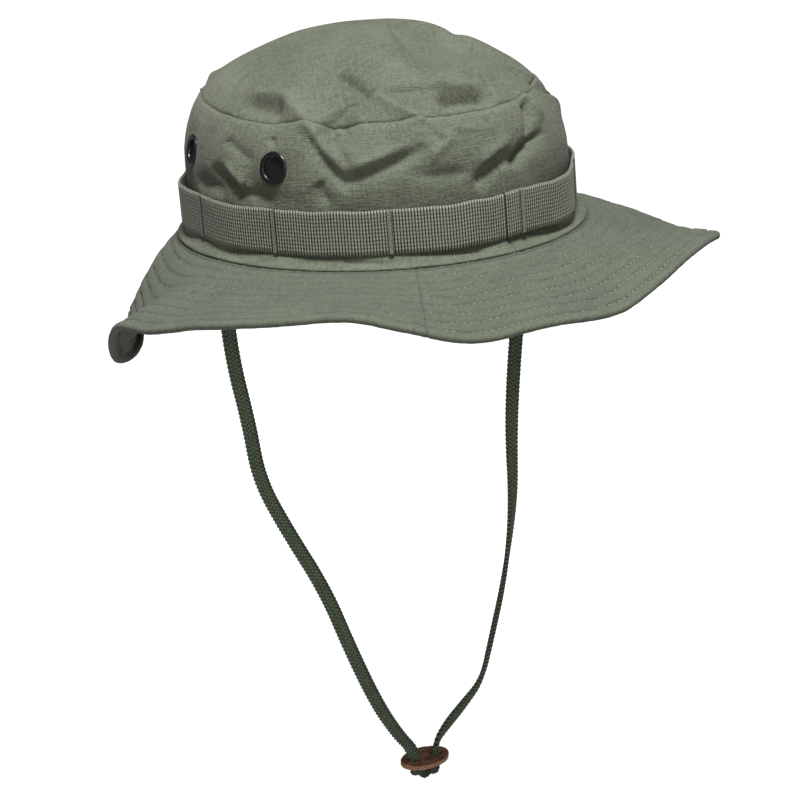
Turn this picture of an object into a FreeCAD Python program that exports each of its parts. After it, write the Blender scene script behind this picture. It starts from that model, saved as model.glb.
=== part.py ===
"""Boonie hat: crown, stitched brim, foliage band, four screened vents and a braided
chin cord with a leather toggle.  Millimetres, +Z up, front of the hat towards -Y,
wearer's left towards +X.  The origin is the centre of the head opening, in the plane
of the seam between crown and brim."""
import FreeCAD, Part
import math
import os

os.makedirs("parts", exist_ok=True)

V = FreeCAD.Vector
UP = V(0, 0, 1)

# ---------------------------------------------------------------- driving sizes
oval_ratio = 0.885          # width of every oval of the crown divided by its length

fabric_t = 0.8              # one layer of the outer cloth
lining_t = 0.8              # stiffening cloth between the brim's two layers
layer_gap = 0.3             # air between cloths that lie on each other without stitching
seat_gap = 0.1              # air under a piece that is sewn down on another
ply_gap = 0.05              # air between the layers of the brim

waist_half_length = 98.8    # half of the crown's length where the band pulls it in
seam_flare = 8.7            # how much the crown widens from there to the brim seam
belly_swell = 0.8           # and from there up to its widest place above the band
shoulder_draw = 13.6        # how much it draws in from there to the top seam
crown_foot = 0.75 * fabric_t  # lower edge of the side panels' outside; the inside is lower
waist_height = 16.0
band_top_height = 27.0      # where the crown has swollen to its full width
belly_height = 38.0         # where it starts to draw in
seam_height = 65.0          # height of the top seam
# Height above the brim seam, and the share of the flare that is left there.
flare_knots = ((3.0, 0.506), (7.0, 0.126))
# Share of the height from belly to top seam, and share of the drawing-in reached there.
shoulder_knots = ((0.444, 0.191), (0.778, 0.544))
edge_roll = (4.0, 5.5)      # the next point past the top seam: that much up, and inwards
flare_below = (4.0, 5.0)    # the point before the brim seam: that much down, and outwards
dome_rise = 31.0            # the top's rise above its seam
dome_power = 2.5            # how flat the top is in its middle

band_width = 21.0           # webbing's width
band_t = 1.3                # webbing's thickness
band_foot = 6.6             # height of the webbing's lower edge
tack_angles = (-102, -70, -36, 5, 45, 80, 113, 147, 187, 222)
loop_bulge = (1.6, 1.0, 2.2, 3.6, 2.4, 2.2, 2.6, 2.4, 2.0, 2.6)   # air behind each loop
tack_w = 2.2                # one row of tacking stitches
tack_t = 0.6

seam_half_length = waist_half_length + seam_flare
belly_half_length = waist_half_length + belly_swell
shoulder_half_length = belly_half_length - shoulder_draw

brim_width = 69.0
brim_inset = 1.5            # how far the brim reaches in under the crown's edge
hem_turn = 8.0              # the stiffening cloth stops this far short of the edge
brim_seam_angle = -30.0     # where the brim's two halves meet, and again opposite
# How steeply the brim falls at each angle round the hat, in degrees from level.
brim_fall = ((-180, 23), (-172, 28), (-160, 44), (-145, 56), (-128, 57), (-112, 48),
             (-98, 30), (-86, 13), (-77, 11), (-66, 6), (-54, 3), (-42, 2), (-33, 7),
             (-23, 14), (-11, 12), (2, 13), (10, 7), (20, 1), (32, 3), (48, 14),
             (62, 22), (85, 25), (110, 21), (140, 19), (162, 20))
fall_start = 0.75           # share of that slope at the seam; it grows evenly outwards

sweatband_width = 30.0
sweatband_t = 1.2
sweatband_foot = 3.0

binding_width = 9.0         # tape that covers the top seam inside
tape_width = 12.0           # tapes that cover the front and back seams inside
tape_t = 0.8
label_width = 34.0
label_t = 0.4
tape_margin = 1.0           # bare cloth between the tapes, the label and the sweatband
binding_drop = 1.0          # the binding stops this far under the top seam

vent_spread = 20.5          # angle of each vent from the hat's side
vent_rise = 1.0             # vents' centres above the middle of the free height inside
vent_flange_r = 7.75
vent_bore_r = 5.2
vent_wall = 0.45
vent_lip = 0.9              # how far the rolled flange stands off the cloth
vent_hole_clearance = 0.15
screen_t = 0.3
washer_t = 0.5

cord_width = 7.2            # flat braid
cord_thickness = 2.6

toggle_length = 27.5
toggle_width = 18.0
toggle_t = 2.8
toggle_round = 0.6
toggle_hole_clearance = 0.56
toggle_gap = 0.8            # from the toggle's middle down to the knot
toggle_tilt = 8.0           # degrees, front edge down
knot_width = 17.0
knot_depth = 8.5
knot_height = 7.4

# Routes of the two halves of the chin cord, from the brim seam through the toggle.
cord_left_route = ((-90.2, 0, -1.5), (-93.4, -0.8, -19), (-92.5, -1.5, -50),
                   (-86.5, -0.8, -82), (-83.0, 0.6, -111), (-69.5, 1.6, -140),
                   (-50.5, 1.0, -177), (-40.0, -0.4, -210), (-27.5, -1.2, -243),
                   (-15.5, -0.5, -264), (-6.5, 0, -275.0), (-6.5, 0, -283.6))
cord_right_route = ((90.2, 0, -1.5), (89.0, 0.8, -20), (83.5, 1.6, -50),
                    (75.0, 0.6, -88), (68.8, -0.8, -124), (66.8, -1.6, -160),
                    (58.5, -0.6, -199), (47.5, 0.6, -231), (40.0, 0.9, -251),
                    (26.5, 0.6, -260.5), (14.2, 0.2, -268.5), (6.5, 0, -275.8),
                    (6.5, 0, -283.6))

# ---------------------------------------------------------------- helpers


def smooth_through(knots, x, period=None):
    """Value at x of a smooth curve through (x, y) knots given in rising order of x."""
    pts = [(float(a), float(b)) for a, b in knots]
    if period:
        x = (x - pts[0][0]) % period + pts[0][0]
        pts = [(pts[-1][0] - period, pts[-1][1])] + pts
        pts += [(pts[1][0] + period, pts[1][1]), (pts[2][0] + period, pts[2][1])]
    slopes = []
    for i in range(len(pts)):
        a, b = pts[max(i - 1, 0)], pts[min(i + 1, len(pts) - 1)]
        slopes.append((b[1] - a[1]) / (b[0] - a[0]))
    for i in range(len(pts) - 1):
        (x0, y0), (x1, y1) = pts[i], pts[i + 1]
        if x <= x1 or i == len(pts) - 2:
            w = x1 - x0
            t = (x - x0) / w
            return ((2 * t**3 - 3 * t**2 + 1) * y0 + (t**3 - 2 * t**2 + t) * w * slopes[i]
                    + (3 * t**2 - 2 * t**3) * y1 + (t**3 - t**2) * w * slopes[i + 1])


def spread(a, b, count):
    """count evenly spaced values from a to b."""
    return [a + (b - a) * i / (count - 1) for i in range(count)]


def save(name, shape):
    if not shape.isValid():
        print("NOT VALID", name)
    shape.exportStep("parts/%s.step" % name)
    box = shape.BoundBox
    print("%-28s %2d solid  volume %9.1f  x %.1f..%.1f  y %.1f..%.1f  z %.1f..%.1f" % (
        name, len(shape.Solids), shape.Volume, box.XMin, box.XMax, box.YMin, box.YMax,
        box.ZMin, box.ZMax))


def turned(shape, angle):
    """Copy of a shape turned about the vertical by an angle in degrees."""
    shape = shape.copy()
    shape.rotate(V(0, 0, 0), UP, angle)
    return shape


def narrowed(shape):
    """Make a round shape oval: its width becomes oval_ratio of its length."""
    m = FreeCAD.Matrix()
    m.A11 = oval_ratio
    return shape.transformGeometry(m)


def oval_solid(profile, middle, sweep):
    """Oval piece swept from a closed profile of (radius, height) curves, centred on an
    angle counted from the front towards the wearer's left."""
    face = Part.Face(Part.Wire(profile))
    start = turned(face, -90 + middle - sweep / 2.0)
    return narrowed(start.revolve(V(0, 0, 0), UP, sweep))


def curve(points):
    spline = Part.BSplineCurve()
    spline.interpolate([V(r, 0, z) for r, z in points])
    return spline.toShape()


def line(a, b):
    return Part.makeLine(V(a[0], 0, a[1]), V(b[0], 0, b[1]))


def strip_profile(outside, inside):
    """Closed profile between two rows of (radius, height) points."""
    return [curve(outside), line(outside[-1], inside[-1]), curve(inside),
            line(inside[0], outside[0])]


def patch(points):
    surface = Part.BSplineSurface()
    surface.interpolate(points)
    return surface


def solid_between(face_a, face_b, closed):
    """Solid between two grids of points, with ruled walls round their edges.  A closed
    grid meets itself in its first direction."""
    a, b = patch(face_a), patch(face_b)
    u0, u1, v0, v1 = a.bounds()
    p0, p1, q0, q1 = b.bounds()
    pairs = [(a.vIso(v0), b.vIso(q0)), (a.vIso(v1), b.vIso(q1))]
    if not closed:
        pairs += [(a.uIso(u0), b.uIso(p0)), (a.uIso(u1), b.uIso(p1))]
    faces = [a.toShape(), b.toShape()]
    faces += [Part.makeRuledSurface(m.toShape(), n.toShape()) for m, n in pairs]
    shell = Part.makeShell(faces)
    shell.sewShape()
    solid = Part.makeSolid(shell.Shells[0] if shell.Shells else shell)
    if solid.Volume < 0:
        solid.reverse()
    return solid


# ---------------------------------------------------------------- crown

crown_knots = [(-flare_below[0], seam_half_length + flare_below[1]), (0, seam_half_length)]
crown_knots += [(z, waist_half_length + share * seam_flare) for z, share in flare_knots]
crown_knots += [(waist_height, waist_half_length), (band_top_height, belly_half_length),
                (belly_height, belly_half_length)]
crown_knots += [(belly_height + rise * (seam_height - belly_height),
                 belly_half_length - draw * shoulder_draw) for rise, draw in shoulder_knots]
crown_knots += [(seam_height, shoulder_half_length),
                (seam_height + edge_roll[0], shoulder_half_length - edge_roll[1])]


def crown_r(z):
    """Half length of the crown's outside at a height."""
    return smooth_through(crown_knots, z)


def crown_slope(z):
    step = 0.05
    return (crown_r(z + step) - crown_r(z - step)) / (2 * step)


def crown_offset(z, depth):
    """(radius, height) of the point a depth inside the crown's outer surface."""
    slope = crown_slope(z)
    k = depth / math.hypot(1, slope)
    return crown_r(z) - k, z + slope * k


def crown_strip(low, high, near, far, middle, sweep, count=12):
    """Cloth strip that follows the crown between two heights and two depths."""
    heights = spread(low, high, count)
    outside = [crown_offset(z, near) for z in heights]
    inside = [crown_offset(z, far) for z in heights]
    return oval_solid(strip_profile(outside, inside), middle, sweep)


def crown_point(angle, z):
    a = math.radians(angle)
    r = crown_r(z)
    return V(oval_ratio * r * math.sin(a), -r * math.cos(a), z)


def crown_normal(angle, z):
    step = 0.05
    along = crown_point(angle + step, z) - crown_point(angle - step, z)
    up = crown_point(angle, z + step) - crown_point(angle, z - step)
    return along.cross(up).normalize()


vent_height = (sweatband_foot + sweatband_width + seam_height - binding_width
               + binding_drop) / 2 + vent_rise
vent_places = {"left_front": 90 - vent_spread, "left_back": 90 + vent_spread,
               "right_front": -90 + vent_spread, "right_back": -90 - vent_spread}


def placed(shape, angle, z):
    """Shape made about the vertical, put on the crown with its axis along the normal."""
    shape = shape.copy()
    normal = crown_normal(angle, z)
    shape.Placement = FreeCAD.Placement(crown_point(angle, z), FreeCAD.Rotation(UP, normal))
    return shape


def dome(r):
    """Height of the top's outer surface at a distance from its middle."""
    return seam_height + seat_gap + dome_rise * (1 - (r / shoulder_half_length) ** dome_power)


def crown_top():
    radii = spread(0.0, shoulder_half_length, 15)
    outside, inside = [], []
    for r in radii:
        slope = -dome_rise * dome_power / shoulder_half_length * (
            r / shoulder_half_length) ** (dome_power - 1)
        k = fabric_t / math.hypot(1, slope)
        outside.append((r, dome(r)))
        inside.append((r + slope * k, dome(r) - k))
    inside[0] = (0.0, inside[0][1])
    return oval_solid(strip_profile(outside, inside), 0, 360)


def crown_side(middle, places):
    panel = crown_strip(crown_foot, seam_height, 0, fabric_t, middle, 180, 18)
    hole_r = vent_bore_r + vent_wall + vent_hole_clearance
    for angle in places:
        reach = 4 * vent_flange_r
        cutter = Part.makeCylinder(hole_r, reach, V(0, 0, -reach / 2))
        panel = panel.cut(placed(cutter, angle, vent_height))
    return panel


hidden = fabric_t + layer_gap           # depth at which the inner tapes start
sweatband_top = sweatband_foot + sweatband_width
binding_foot = seam_height - binding_width + binding_drop
tape_foot = sweatband_top + tape_margin
tape_top = binding_foot - tape_margin


def seam_tape(middle):
    sweep = math.degrees(tape_width / belly_half_length)
    return crown_strip(tape_foot, tape_top, hidden, hidden + tape_t, middle, sweep)


def top_seam_binding():
    return crown_strip(binding_foot, seam_height - binding_drop, hidden, hidden + tape_t,
                       0, 360)


def sweatband():
    return crown_strip(sweatband_foot, sweatband_top, hidden, hidden + sweatband_t, 0, 360, 16)


def size_label():
    sweep = math.degrees(label_width / belly_half_length)
    middle = 180 - sweep / 2 - math.degrees(tape_width / belly_half_length)
    return crown_strip(tape_foot, tape_top, hidden, hidden + label_t, middle, sweep)


# ---------------------------------------------------------------- vents

washer_seat = fabric_t + 0.6            # the cloth curves in towards the washer's rim


def turned_piece(points):
    """Round piece turned about the vertical from a closed (radius, height) outline."""
    outline = Part.makePolygon([V(r, 0, z) for r, z in points + [points[0]]])
    return Part.Face(outline).revolve(V(0, 0, 0), UP, 360)


def vent_flange():
    barrel_r = vent_bore_r + vent_wall
    low = -(washer_seat + washer_t)
    ring = turned_piece([(vent_bore_r, low), (barrel_r, low), (barrel_r, seat_gap),
                         (vent_flange_r, seat_gap), (vent_flange_r, vent_lip * 0.55),
                         (vent_flange_r - 0.45, vent_lip * 0.9),
                         (vent_flange_r - 1.1, vent_lip), (vent_bore_r + 0.5, vent_lip * 0.8),
                         (vent_bore_r, vent_lip * 0.35)])
    return ring


def vent_washer():
    inner = vent_bore_r + vent_wall + vent_hole_clearance
    low, high = -(washer_seat + washer_t), -washer_seat
    return turned_piece([(inner, low), (vent_flange_r - 0.5, low), (vent_flange_r - 0.5, high),
                         (inner, high)])


def vent_screen():
    return Part.makeCylinder(vent_bore_r, screen_t, V(0, 0, -fabric_t))


# ---------------------------------------------------------------- foliage band

band_base = max(crown_r(z) for z in spread(band_foot, band_foot + band_width, 8)) + layer_gap


def loop_air(angle):
    """Air behind the webbing at an angle: none at a tack, most in the middle of a loop."""
    count = len(tack_angles)
    angle = (angle - tack_angles[0]) % 360 + tack_angles[0]
    for i in range(count):
        a = tack_angles[i]
        b = tack_angles[i + 1] if i + 1 < count else tack_angles[0] + 360
        if a <= angle <= b:
            return loop_bulge[i] * math.sin(math.pi * (angle - a) / (b - a)) ** 2
    return 0.0


def foliage_band():
    def face(extra):
        rows = []
        for angle in spread(0, 360, 121):
            r = band_base + extra + loop_air(angle)
            a = math.radians(angle % 360)
            rows.append([V(oval_ratio * r * math.sin(a), -r * math.cos(a), z)
                         for z in spread(band_foot, band_foot + band_width, 4)])
        rows[-1] = list(rows[0])
        return rows
    return solid_between(face(band_t), face(0.0), True)


def band_tacks():
    tacks = []
    low, high = band_foot + 1, band_foot + band_width - 1
    near = band_base + band_t + seat_gap + 0.15
    for angle in tack_angles:
        outline = [line((near, low), (near + tack_t, low)),
                   line((near + tack_t, low), (near + tack_t, high)),
                   line((near + tack_t, high), (near, high)), line((near, high), (near, low))]
        tacks.append(oval_solid(outline, angle, math.degrees(tack_w / near)))
    return Part.makeCompound(tacks)


# ---------------------------------------------------------------- brim

brim_root = seam_half_length - brim_inset


def brim_point(angle, s, depth):
    """Point of the brim at an angle, at a distance s out from its inner edge and at a
    depth under its upper surface."""
    a = math.radians(angle)
    base = V(oval_ratio * brim_root * math.sin(a), -brim_root * math.cos(a), -seat_gap)
    out = V(math.sin(a), -oval_ratio * math.cos(a), 0).normalize()
    fall = math.radians(smooth_through(brim_fall, angle, 360))
    share = fall_start + (1 - fall_start) * s / brim_width
    # a curve of evenly growing slope, followed by its mean slope over each short step
    point, steps = V(base), 12
    for i in range(steps):
        mean = fall * (fall_start + 2 * (1 - fall_start) * s / brim_width * (i + 0.5) / steps)
        point = point + (out * math.cos(mean) - UP * math.sin(mean)) * (s / steps)
    slope = fall * (2 * share - fall_start)
    normal = out * math.sin(slope) + UP * math.cos(slope)
    return point - normal * depth


def brim_layer(top, bottom, start, sweep, short=0.0):
    angles = spread(start, start + sweep, int(sweep / 4) + 1)
    lengths = spread(0, brim_width - short, 8)
    upper = [[brim_point(a, s, top) for s in lengths] for a in angles]
    lower = [[brim_point(a, s, bottom) for s in lengths] for a in angles]
    return solid_between(upper, lower, False)


# ---------------------------------------------------------------- chin cord

cord_r = math.sqrt(cord_width * cord_thickness / math.pi)   # round cord of the same section
knot_top = cord_left_route[-1][2]
toggle_hole_r = cord_r + toggle_hole_clearance
toggle_hole_pitch = cord_right_route[-1][0] - cord_left_route[-1][0]
toggle_top = knot_top + toggle_gap + toggle_t


def cord_tube(name, route):
    """Tube along straight runs joined by the largest even arcs that the runs allow."""
    points = [V(*p) for p in route]
    edges, start, radii = [], points[0], []
    for before, here, after in zip(points, points[1:], points[2:]):
        d1, d2 = (here - before).normalize(), (after - here).normalize()
        half_turn = d1.getAngle(d2) / 2
        reach = 0.45 * min((here - before).Length, (after - here).Length)
        radius = reach / math.tan(half_turn)
        radii.append(radius)
        middle = here + (d2 - d1).normalize() * (radius / math.cos(half_turn) - radius)
        first, last = here - d1 * reach, here + d2 * reach
        edges += [Part.makeLine(start, first), Part.Arc(first, middle, last).toShape()]
        start = last
    edges.append(Part.makeLine(start, points[-1]))
    path = Part.Wire(edges)
    circle = Part.Wire(Part.makeCircle(cord_r, points[0], points[1] - points[0]))
    tube = path.makePipeShell([circle], True, True)
    print(name, "length %.1f" % path.Length, "radii", [round(r) for r in radii],
          "volume over section x length %.4f" % (tube.Volume / (math.pi * cord_r**2 * path.Length)))
    return tube


def cord_end(route):
    """Sewn-in end of the cord, flat between the sweatband's foot and the brim seam."""
    x, y, z = route[0]
    low = z + layer_gap
    high = crown_offset(sweatband_foot, hidden + sweatband_t)[1] - seat_gap
    return Part.makeBox(cord_thickness, cord_width, high - low,
                        V(x - cord_thickness / 2, y - cord_width / 2, low))


def cord_toggle():
    a, b = toggle_length / 2, toggle_width / 2
    disc = Part.makeCylinder(1, toggle_t, V(0, 0, -toggle_t))
    m = FreeCAD.Matrix()
    m.A11, m.A22 = a, b
    disc = disc.transformGeometry(m)
    rims = [e for e in disc.Edges if e.BoundBox.ZLength < 1e-6 and e.Length > toggle_width]
    disc = disc.makeFillet(toggle_round, rims)
    for side in (-1, 1):
        drill = Part.makeCylinder(toggle_hole_r, 4 * toggle_t,
                                  V(side * toggle_hole_pitch / 2, 0, -2 * toggle_t))
        disc = disc.cut(drill)
    disc.rotate(V(0, 0, 0), V(1, 0, 0), toggle_tilt)
    disc.translate(V(0, 0, toggle_top))
    return disc


def cord_knot():
    block = Part.makeBox(knot_width, knot_depth, knot_height,
                         V(-knot_width / 2, -knot_depth / 2, knot_top - knot_height))
    return block.makeFillet(min(knot_depth, knot_height) * 0.35, block.Edges)


# ---------------------------------------------------------------- build

save("crown_top", crown_top())
save("crown_side_left", crown_side(90, [a for a in vent_places.values() if a > 0]))
save("crown_side_right", crown_side(-90, [a for a in vent_places.values() if a < 0]))
save("top_seam_binding", top_seam_binding())
save("front_seam_tape", seam_tape(0))
save("back_seam_tape", seam_tape(180))
save("sweatband", sweatband())
save("size_label", size_label())

for place, angle in vent_places.items():
    save("vent_%s_flange" % place, placed(vent_flange(), angle, vent_height))
    save("vent_%s_washer" % place, placed(vent_washer(), angle, vent_height))
    save("vent_%s_screen" % place, placed(vent_screen(), angle, vent_height))

save("foliage_band", foliage_band())
save("band_tacks", band_tacks())

lining_top = fabric_t + ply_gap
lining_bottom = lining_top + lining_t
lower_top = lining_bottom + ply_gap
for half, start in (("front", brim_seam_angle), ("back", brim_seam_angle + 180)):
    save("brim_upper_" + half, brim_layer(0, fabric_t, start, 180))
    save("brim_interlining_" + half,
         brim_layer(lining_top, lining_bottom, start, 180, hem_turn))
    save("brim_lower_" + half, brim_layer(lower_top, lower_top + fabric_t, start, 180))

save("cord_end_left", cord_end(cord_left_route))
save("cord_end_right", cord_end(cord_right_route))
save("chin_cord_left", cord_tube("chin_cord_left", cord_left_route))
save("chin_cord_right", cord_tube("chin_cord_right", cord_right_route))
save("cord_toggle", cord_toggle())
save("cord_knot", cord_knot())
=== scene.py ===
# %% [markdown]
# # A boonie hat, dressed around its CAD model
#
# A boonie hat is soft: a crown cut from three pieces of thin ripstop cloth, a brim of
# stiffened cloth held flat by rows of stitching, a band of ribbed webbing and a braided
# chin cord with a leather toggle. The CAD model fixes where everything is. This lesson
# replaces each plain CAD solid with cloth, webbing, thread and braid made of real
# geometry, and gives every one a finish made of shader nodes.

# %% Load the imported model
import bpy
import math
import numpy as np
from mathutils import Matrix, Vector, noise


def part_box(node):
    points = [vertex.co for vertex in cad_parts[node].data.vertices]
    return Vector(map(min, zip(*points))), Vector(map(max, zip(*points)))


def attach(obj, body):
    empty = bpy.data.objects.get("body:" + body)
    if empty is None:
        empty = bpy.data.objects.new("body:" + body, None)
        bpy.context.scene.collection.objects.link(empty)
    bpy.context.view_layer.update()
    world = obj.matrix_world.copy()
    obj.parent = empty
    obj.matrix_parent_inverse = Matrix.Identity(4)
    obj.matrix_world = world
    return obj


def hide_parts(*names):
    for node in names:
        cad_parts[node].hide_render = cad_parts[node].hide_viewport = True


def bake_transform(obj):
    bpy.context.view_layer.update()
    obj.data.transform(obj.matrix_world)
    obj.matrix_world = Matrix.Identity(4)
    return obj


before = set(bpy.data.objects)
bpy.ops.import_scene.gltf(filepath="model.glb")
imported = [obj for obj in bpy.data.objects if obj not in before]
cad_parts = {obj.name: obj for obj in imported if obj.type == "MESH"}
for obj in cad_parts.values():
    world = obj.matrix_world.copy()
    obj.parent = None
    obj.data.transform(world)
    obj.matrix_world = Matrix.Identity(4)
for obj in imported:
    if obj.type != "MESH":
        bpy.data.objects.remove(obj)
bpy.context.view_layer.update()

# %% [markdown]
# ## Camera
#
# A long lens from well back keeps the brim's near and far edges in the right proportion.
# The camera is set from angles rather than typed coordinates, so that it can be read: it
# stands in front of the wearer's right side, a little above, and is rolled a few degrees
# because the hat hangs slightly askew.

# %% Camera
view_azimuth, view_elevation, view_roll = (math.radians(a) for a in (-35.0, 16.42, 4.69))
view_distance = 1.536
aim_right, aim_up = 0.0093, -0.0868

back = Vector((math.sin(view_azimuth) * math.cos(view_elevation),
               -math.cos(view_azimuth) * math.cos(view_elevation), math.sin(view_elevation)))
level = Vector((math.cos(view_azimuth), math.sin(view_azimuth), 0))
upright = back.cross(level)
right = level * math.cos(view_roll) - upright * math.sin(view_roll)
up = level * math.sin(view_roll) + upright * math.cos(view_roll)

camera = bpy.data.objects.new("camera", bpy.data.cameras.new("camera"))
bpy.context.scene.collection.objects.link(camera)
camera.data.lens = 142.9
axes = Matrix((right, up, back)).transposed().to_4x4()
camera.matrix_world = Matrix.Translation(right * aim_right + up * aim_up
                                         + back * view_distance) @ axes
bpy.context.scene.camera = camera
print("camera at", [round(v, 3) for v in camera.location])

# %% [markdown]
# ## Shader maths as plain expressions
#
# A material is a graph of nodes, and a graph typed node by node is hard to read. `Wire`
# wraps one socket of the graph: `+ - * /` between wires and numbers add Math nodes, and
# `make` adds any other node, with its settings first and its sockets after. A finish is
# then written like a formula.

# %% A wire in a material's node graph
class Wire:
    """One output socket of a material's node tree, with arithmetic."""

    def __init__(self, tree, socket=None):
        self.tree = tree
        self.socket = socket

    def make(self, kind, settings=None, sockets=None, out=None):
        """Adds a node. sockets is a list, in order, or a dict by name, of those in use."""
        node = self.tree.nodes.new("ShaderNode" + kind)
        for name, value in (settings or {}).items():
            if name == "stops":
                self.set_stops(node.color_ramp, value)
            else:
                setattr(node, name, value)
        ready = [s for s in node.inputs if s.enabled]
        if isinstance(sockets, dict):
            pairs = [(next(s for s in ready if s.name == name), value)
                     for name, value in sockets.items()]
        else:
            pairs = zip(ready, sockets or [])
        for socket, value in pairs:
            self.plug(socket, value)
        shown = [s for s in node.outputs if s.enabled]
        found = shown[0] if out is None else next(s for s in shown if s.name == out)
        return Wire(self.tree, found)

    def set_stops(self, ramp, stops):
        while len(ramp.elements) < len(stops):
            ramp.elements.new(1.0)
        for element, (place, colour) in zip(ramp.elements, stops):
            element.position = place
            element.color = colour

    def plug(self, socket, value):
        if isinstance(value, Wire):
            self.tree.links.new(value.socket, socket)
        else:
            socket.default_value = value

    def maths(self, operation, *values):
        return self.make("Math", {"operation": operation}, list(values))

    def __add__(self, other):
        return self.maths("ADD", self, other)

    def __sub__(self, other):
        return self.maths("SUBTRACT", self, other)

    def __rsub__(self, other):
        return self.maths("SUBTRACT", other, self)

    def __mul__(self, other):
        return self.maths("MULTIPLY", self, other)

    def __truediv__(self, other):
        return self.maths("DIVIDE", self, other)

    __radd__ = __add__
    __rmul__ = __mul__

    def wave(self, length, phase=0.0):
        """0..1..0 along this value, once per length."""
        return 0.5 - 0.5 * self.maths("COSINE", (self / length + phase) * math.tau)

    def step(self, low, high):
        """0 below low, 1 above high, and smooth between."""
        return self.make("MapRange", {"interpolation_type": "SMOOTHSTEP"},
                         {"Value": self, "From Min": low, "From Max": high})

    def split(self):
        """The three parts of a vector."""
        parts = self.make("SeparateXYZ", None, [self])
        return [Wire(self.tree, s) for s in parts.socket.node.outputs]

    def scaled(self, *factors):
        """A vector with each part multiplied."""
        return self.make("VectorMath", {"operation": "MULTIPLY"}, [self, factors])

    def noise(self, scale, detail=2.0, roughness=0.5):
        """Soft random values from 0 to 1 at this place."""
        return self.make("TexNoise", None, {"Vector": self, "Scale": scale, "Detail": detail,
                                            "Roughness": roughness}, out="Fac")


# %% [markdown]
# A finish always needs the same things: a shader, a colour that varies a little, a
# roughness and a fine relief. Colours are typed as the 0 to 255 values of a swatch card
# and turned into the linear light that the renderer works in.

# %% Helpers shared by all finishes
def swatch(red, green, blue):
    """Linear colour of a swatch."""
    return (*[((v / 255 + 0.055) / 1.055) ** 2.4 if v > 10 else v / 255 / 12.92
              for v in (red, green, blue)], 1.0)


def start_finish(name, **constants):
    """A new material, a wire to build with, and its shader with constant sockets set."""
    material = bpy.data.materials.new(name)
    material.use_nodes = True
    shader = material.node_tree.nodes["Principled BSDF"]
    for socket, value in constants.items():
        shader.inputs[socket.replace("_", " ")].default_value = value
    return material, Wire(material.node_tree), shader


def mixed(factor, a, b):
    """Colour a where factor is 0 and b where it is 1."""
    return factor.make("Mix", {"data_type": "RGBA"}, {"Factor": factor, "A": a, "B": b})


def relief(height, depth_mm):
    """Normal of a surface that a height from 0 to 1 raises by some millimetres."""
    return height.make("Bump", None, {"Strength": 1.0, "Distance": depth_mm * 0.001,
                                      "Height": height})


def attribute(wire, name, out="Vector"):
    return wire.make("Attribute", {"attribute_name": name}, out=out)


# %% [markdown]
# ## The outer cloth
#
# The crown and brim are cotton ripstop: a plain weave of half-millimetre yarns, with a
# doubled yarn every 4.6 mm both ways that stands out as a faint grid. The weave must lie
# along the cloth, not along the world, so each cloth mesh carries an attribute named
# `cloth`: millimetres along the warp and the weft, and a third number that is above 0 on
# edges, ridges and swells, which are painted paler, partly as wear and partly as painted
# highlight, and below 0 in seams and grooves, which are painted dark as painted shade.
# Noise stretched along the yarns gives the slubs.

# %% Ripstop cloth
yarn_pitch, ripstop_pitch = 0.62, 4.6


def ripstop(name, colour, worn, shade):
    material, wire, shader = start_finish(name, Sheen_Weight=0.12, Sheen_Roughness=0.45)
    flat = attribute(wire, "cloth")
    warp, weft, wear_and_light = flat.split()
    weave = warp.wave(yarn_pitch) * 0.5 + weft.wave(yarn_pitch) * 0.5
    lines = [1 - wire.maths("PINGPONG", yarn / ripstop_pitch, 0.5).step(0.0, 0.09)
             for yarn in (warp, weft)]
    grid = wire.maths("MAXIMUM", *lines)
    slub_warp = flat.scaled(0.09, 2.2, 1.0).noise(1.0, 3.0)
    slub_weft = flat.scaled(1.6, 0.07, 1.0).noise(1.0, 3.0)
    blotch = flat.scaled(0.035, 0.035, 0.035).noise(1.0, 4.0)
    fuzz = flat.scaled(1.9, 1.9, 1.9).noise(1.0, 2.0)
    mottle = flat.scaled(0.62, 0.5, 0.6).noise(1.0, 2.0)
    light = (blotch * 0.24 + slub_warp * 0.3 + slub_weft * 0.14 + fuzz * 0.2
             + mottle * 0.32 + grid * 0.03 + weave * 0.04 - 0.1)
    tone = mixed(light.step(0.42, 0.6), shade, colour)
    # Raised ridges, edges and swells are painted paler, partly as wear and partly as painted
    # highlight; seams and grooves are painted dark, as painted shade.
    worn_and_lit_tone = mixed(wear_and_light * 0.45, tone, worn)
    painted_groove_shade = (wear_and_light * -1.0).step(0.0, 1.0) * 0.6
    wire.plug(shader.inputs["Base Color"], mixed(painted_groove_shade, worn_and_lit_tone, swatch(44, 48, 38)))
    wire.plug(shader.inputs["Roughness"], 0.93 - fuzz * 0.12)
    height = (weave * 0.3 + slub_warp * 0.8 + slub_weft * 0.4 + grid * 0.12 + fuzz * 0.5
              + mottle * 1.1)
    wire.plug(shader.inputs["Normal"], relief(height, 0.42))
    return material


crown_finish = ripstop("crown_ripstop", swatch(122, 128, 109), swatch(138, 144, 124),
                       swatch(96, 102, 85))
brim_finish = ripstop("brim_ripstop", swatch(110, 117, 100), swatch(130, 136, 118),
                      swatch(94, 101, 86))
print("cloth finishes:", crown_finish.name, brim_finish.name)

# %% [markdown]
# ## Meshes from grids of points
#
# Nearly every piece is a sheet: a grid of points on its outer face and the same grid on
# its inner face. `shell` joins the two into one closed skin with walls round the edges
# and round any hole, so that each cloth has a real thickness. All shapes are worked out in
# millimetres and turned into metres only when the mesh is made.

# %% From points to closed sheets
mm = 0.001
pieces = {}


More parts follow.
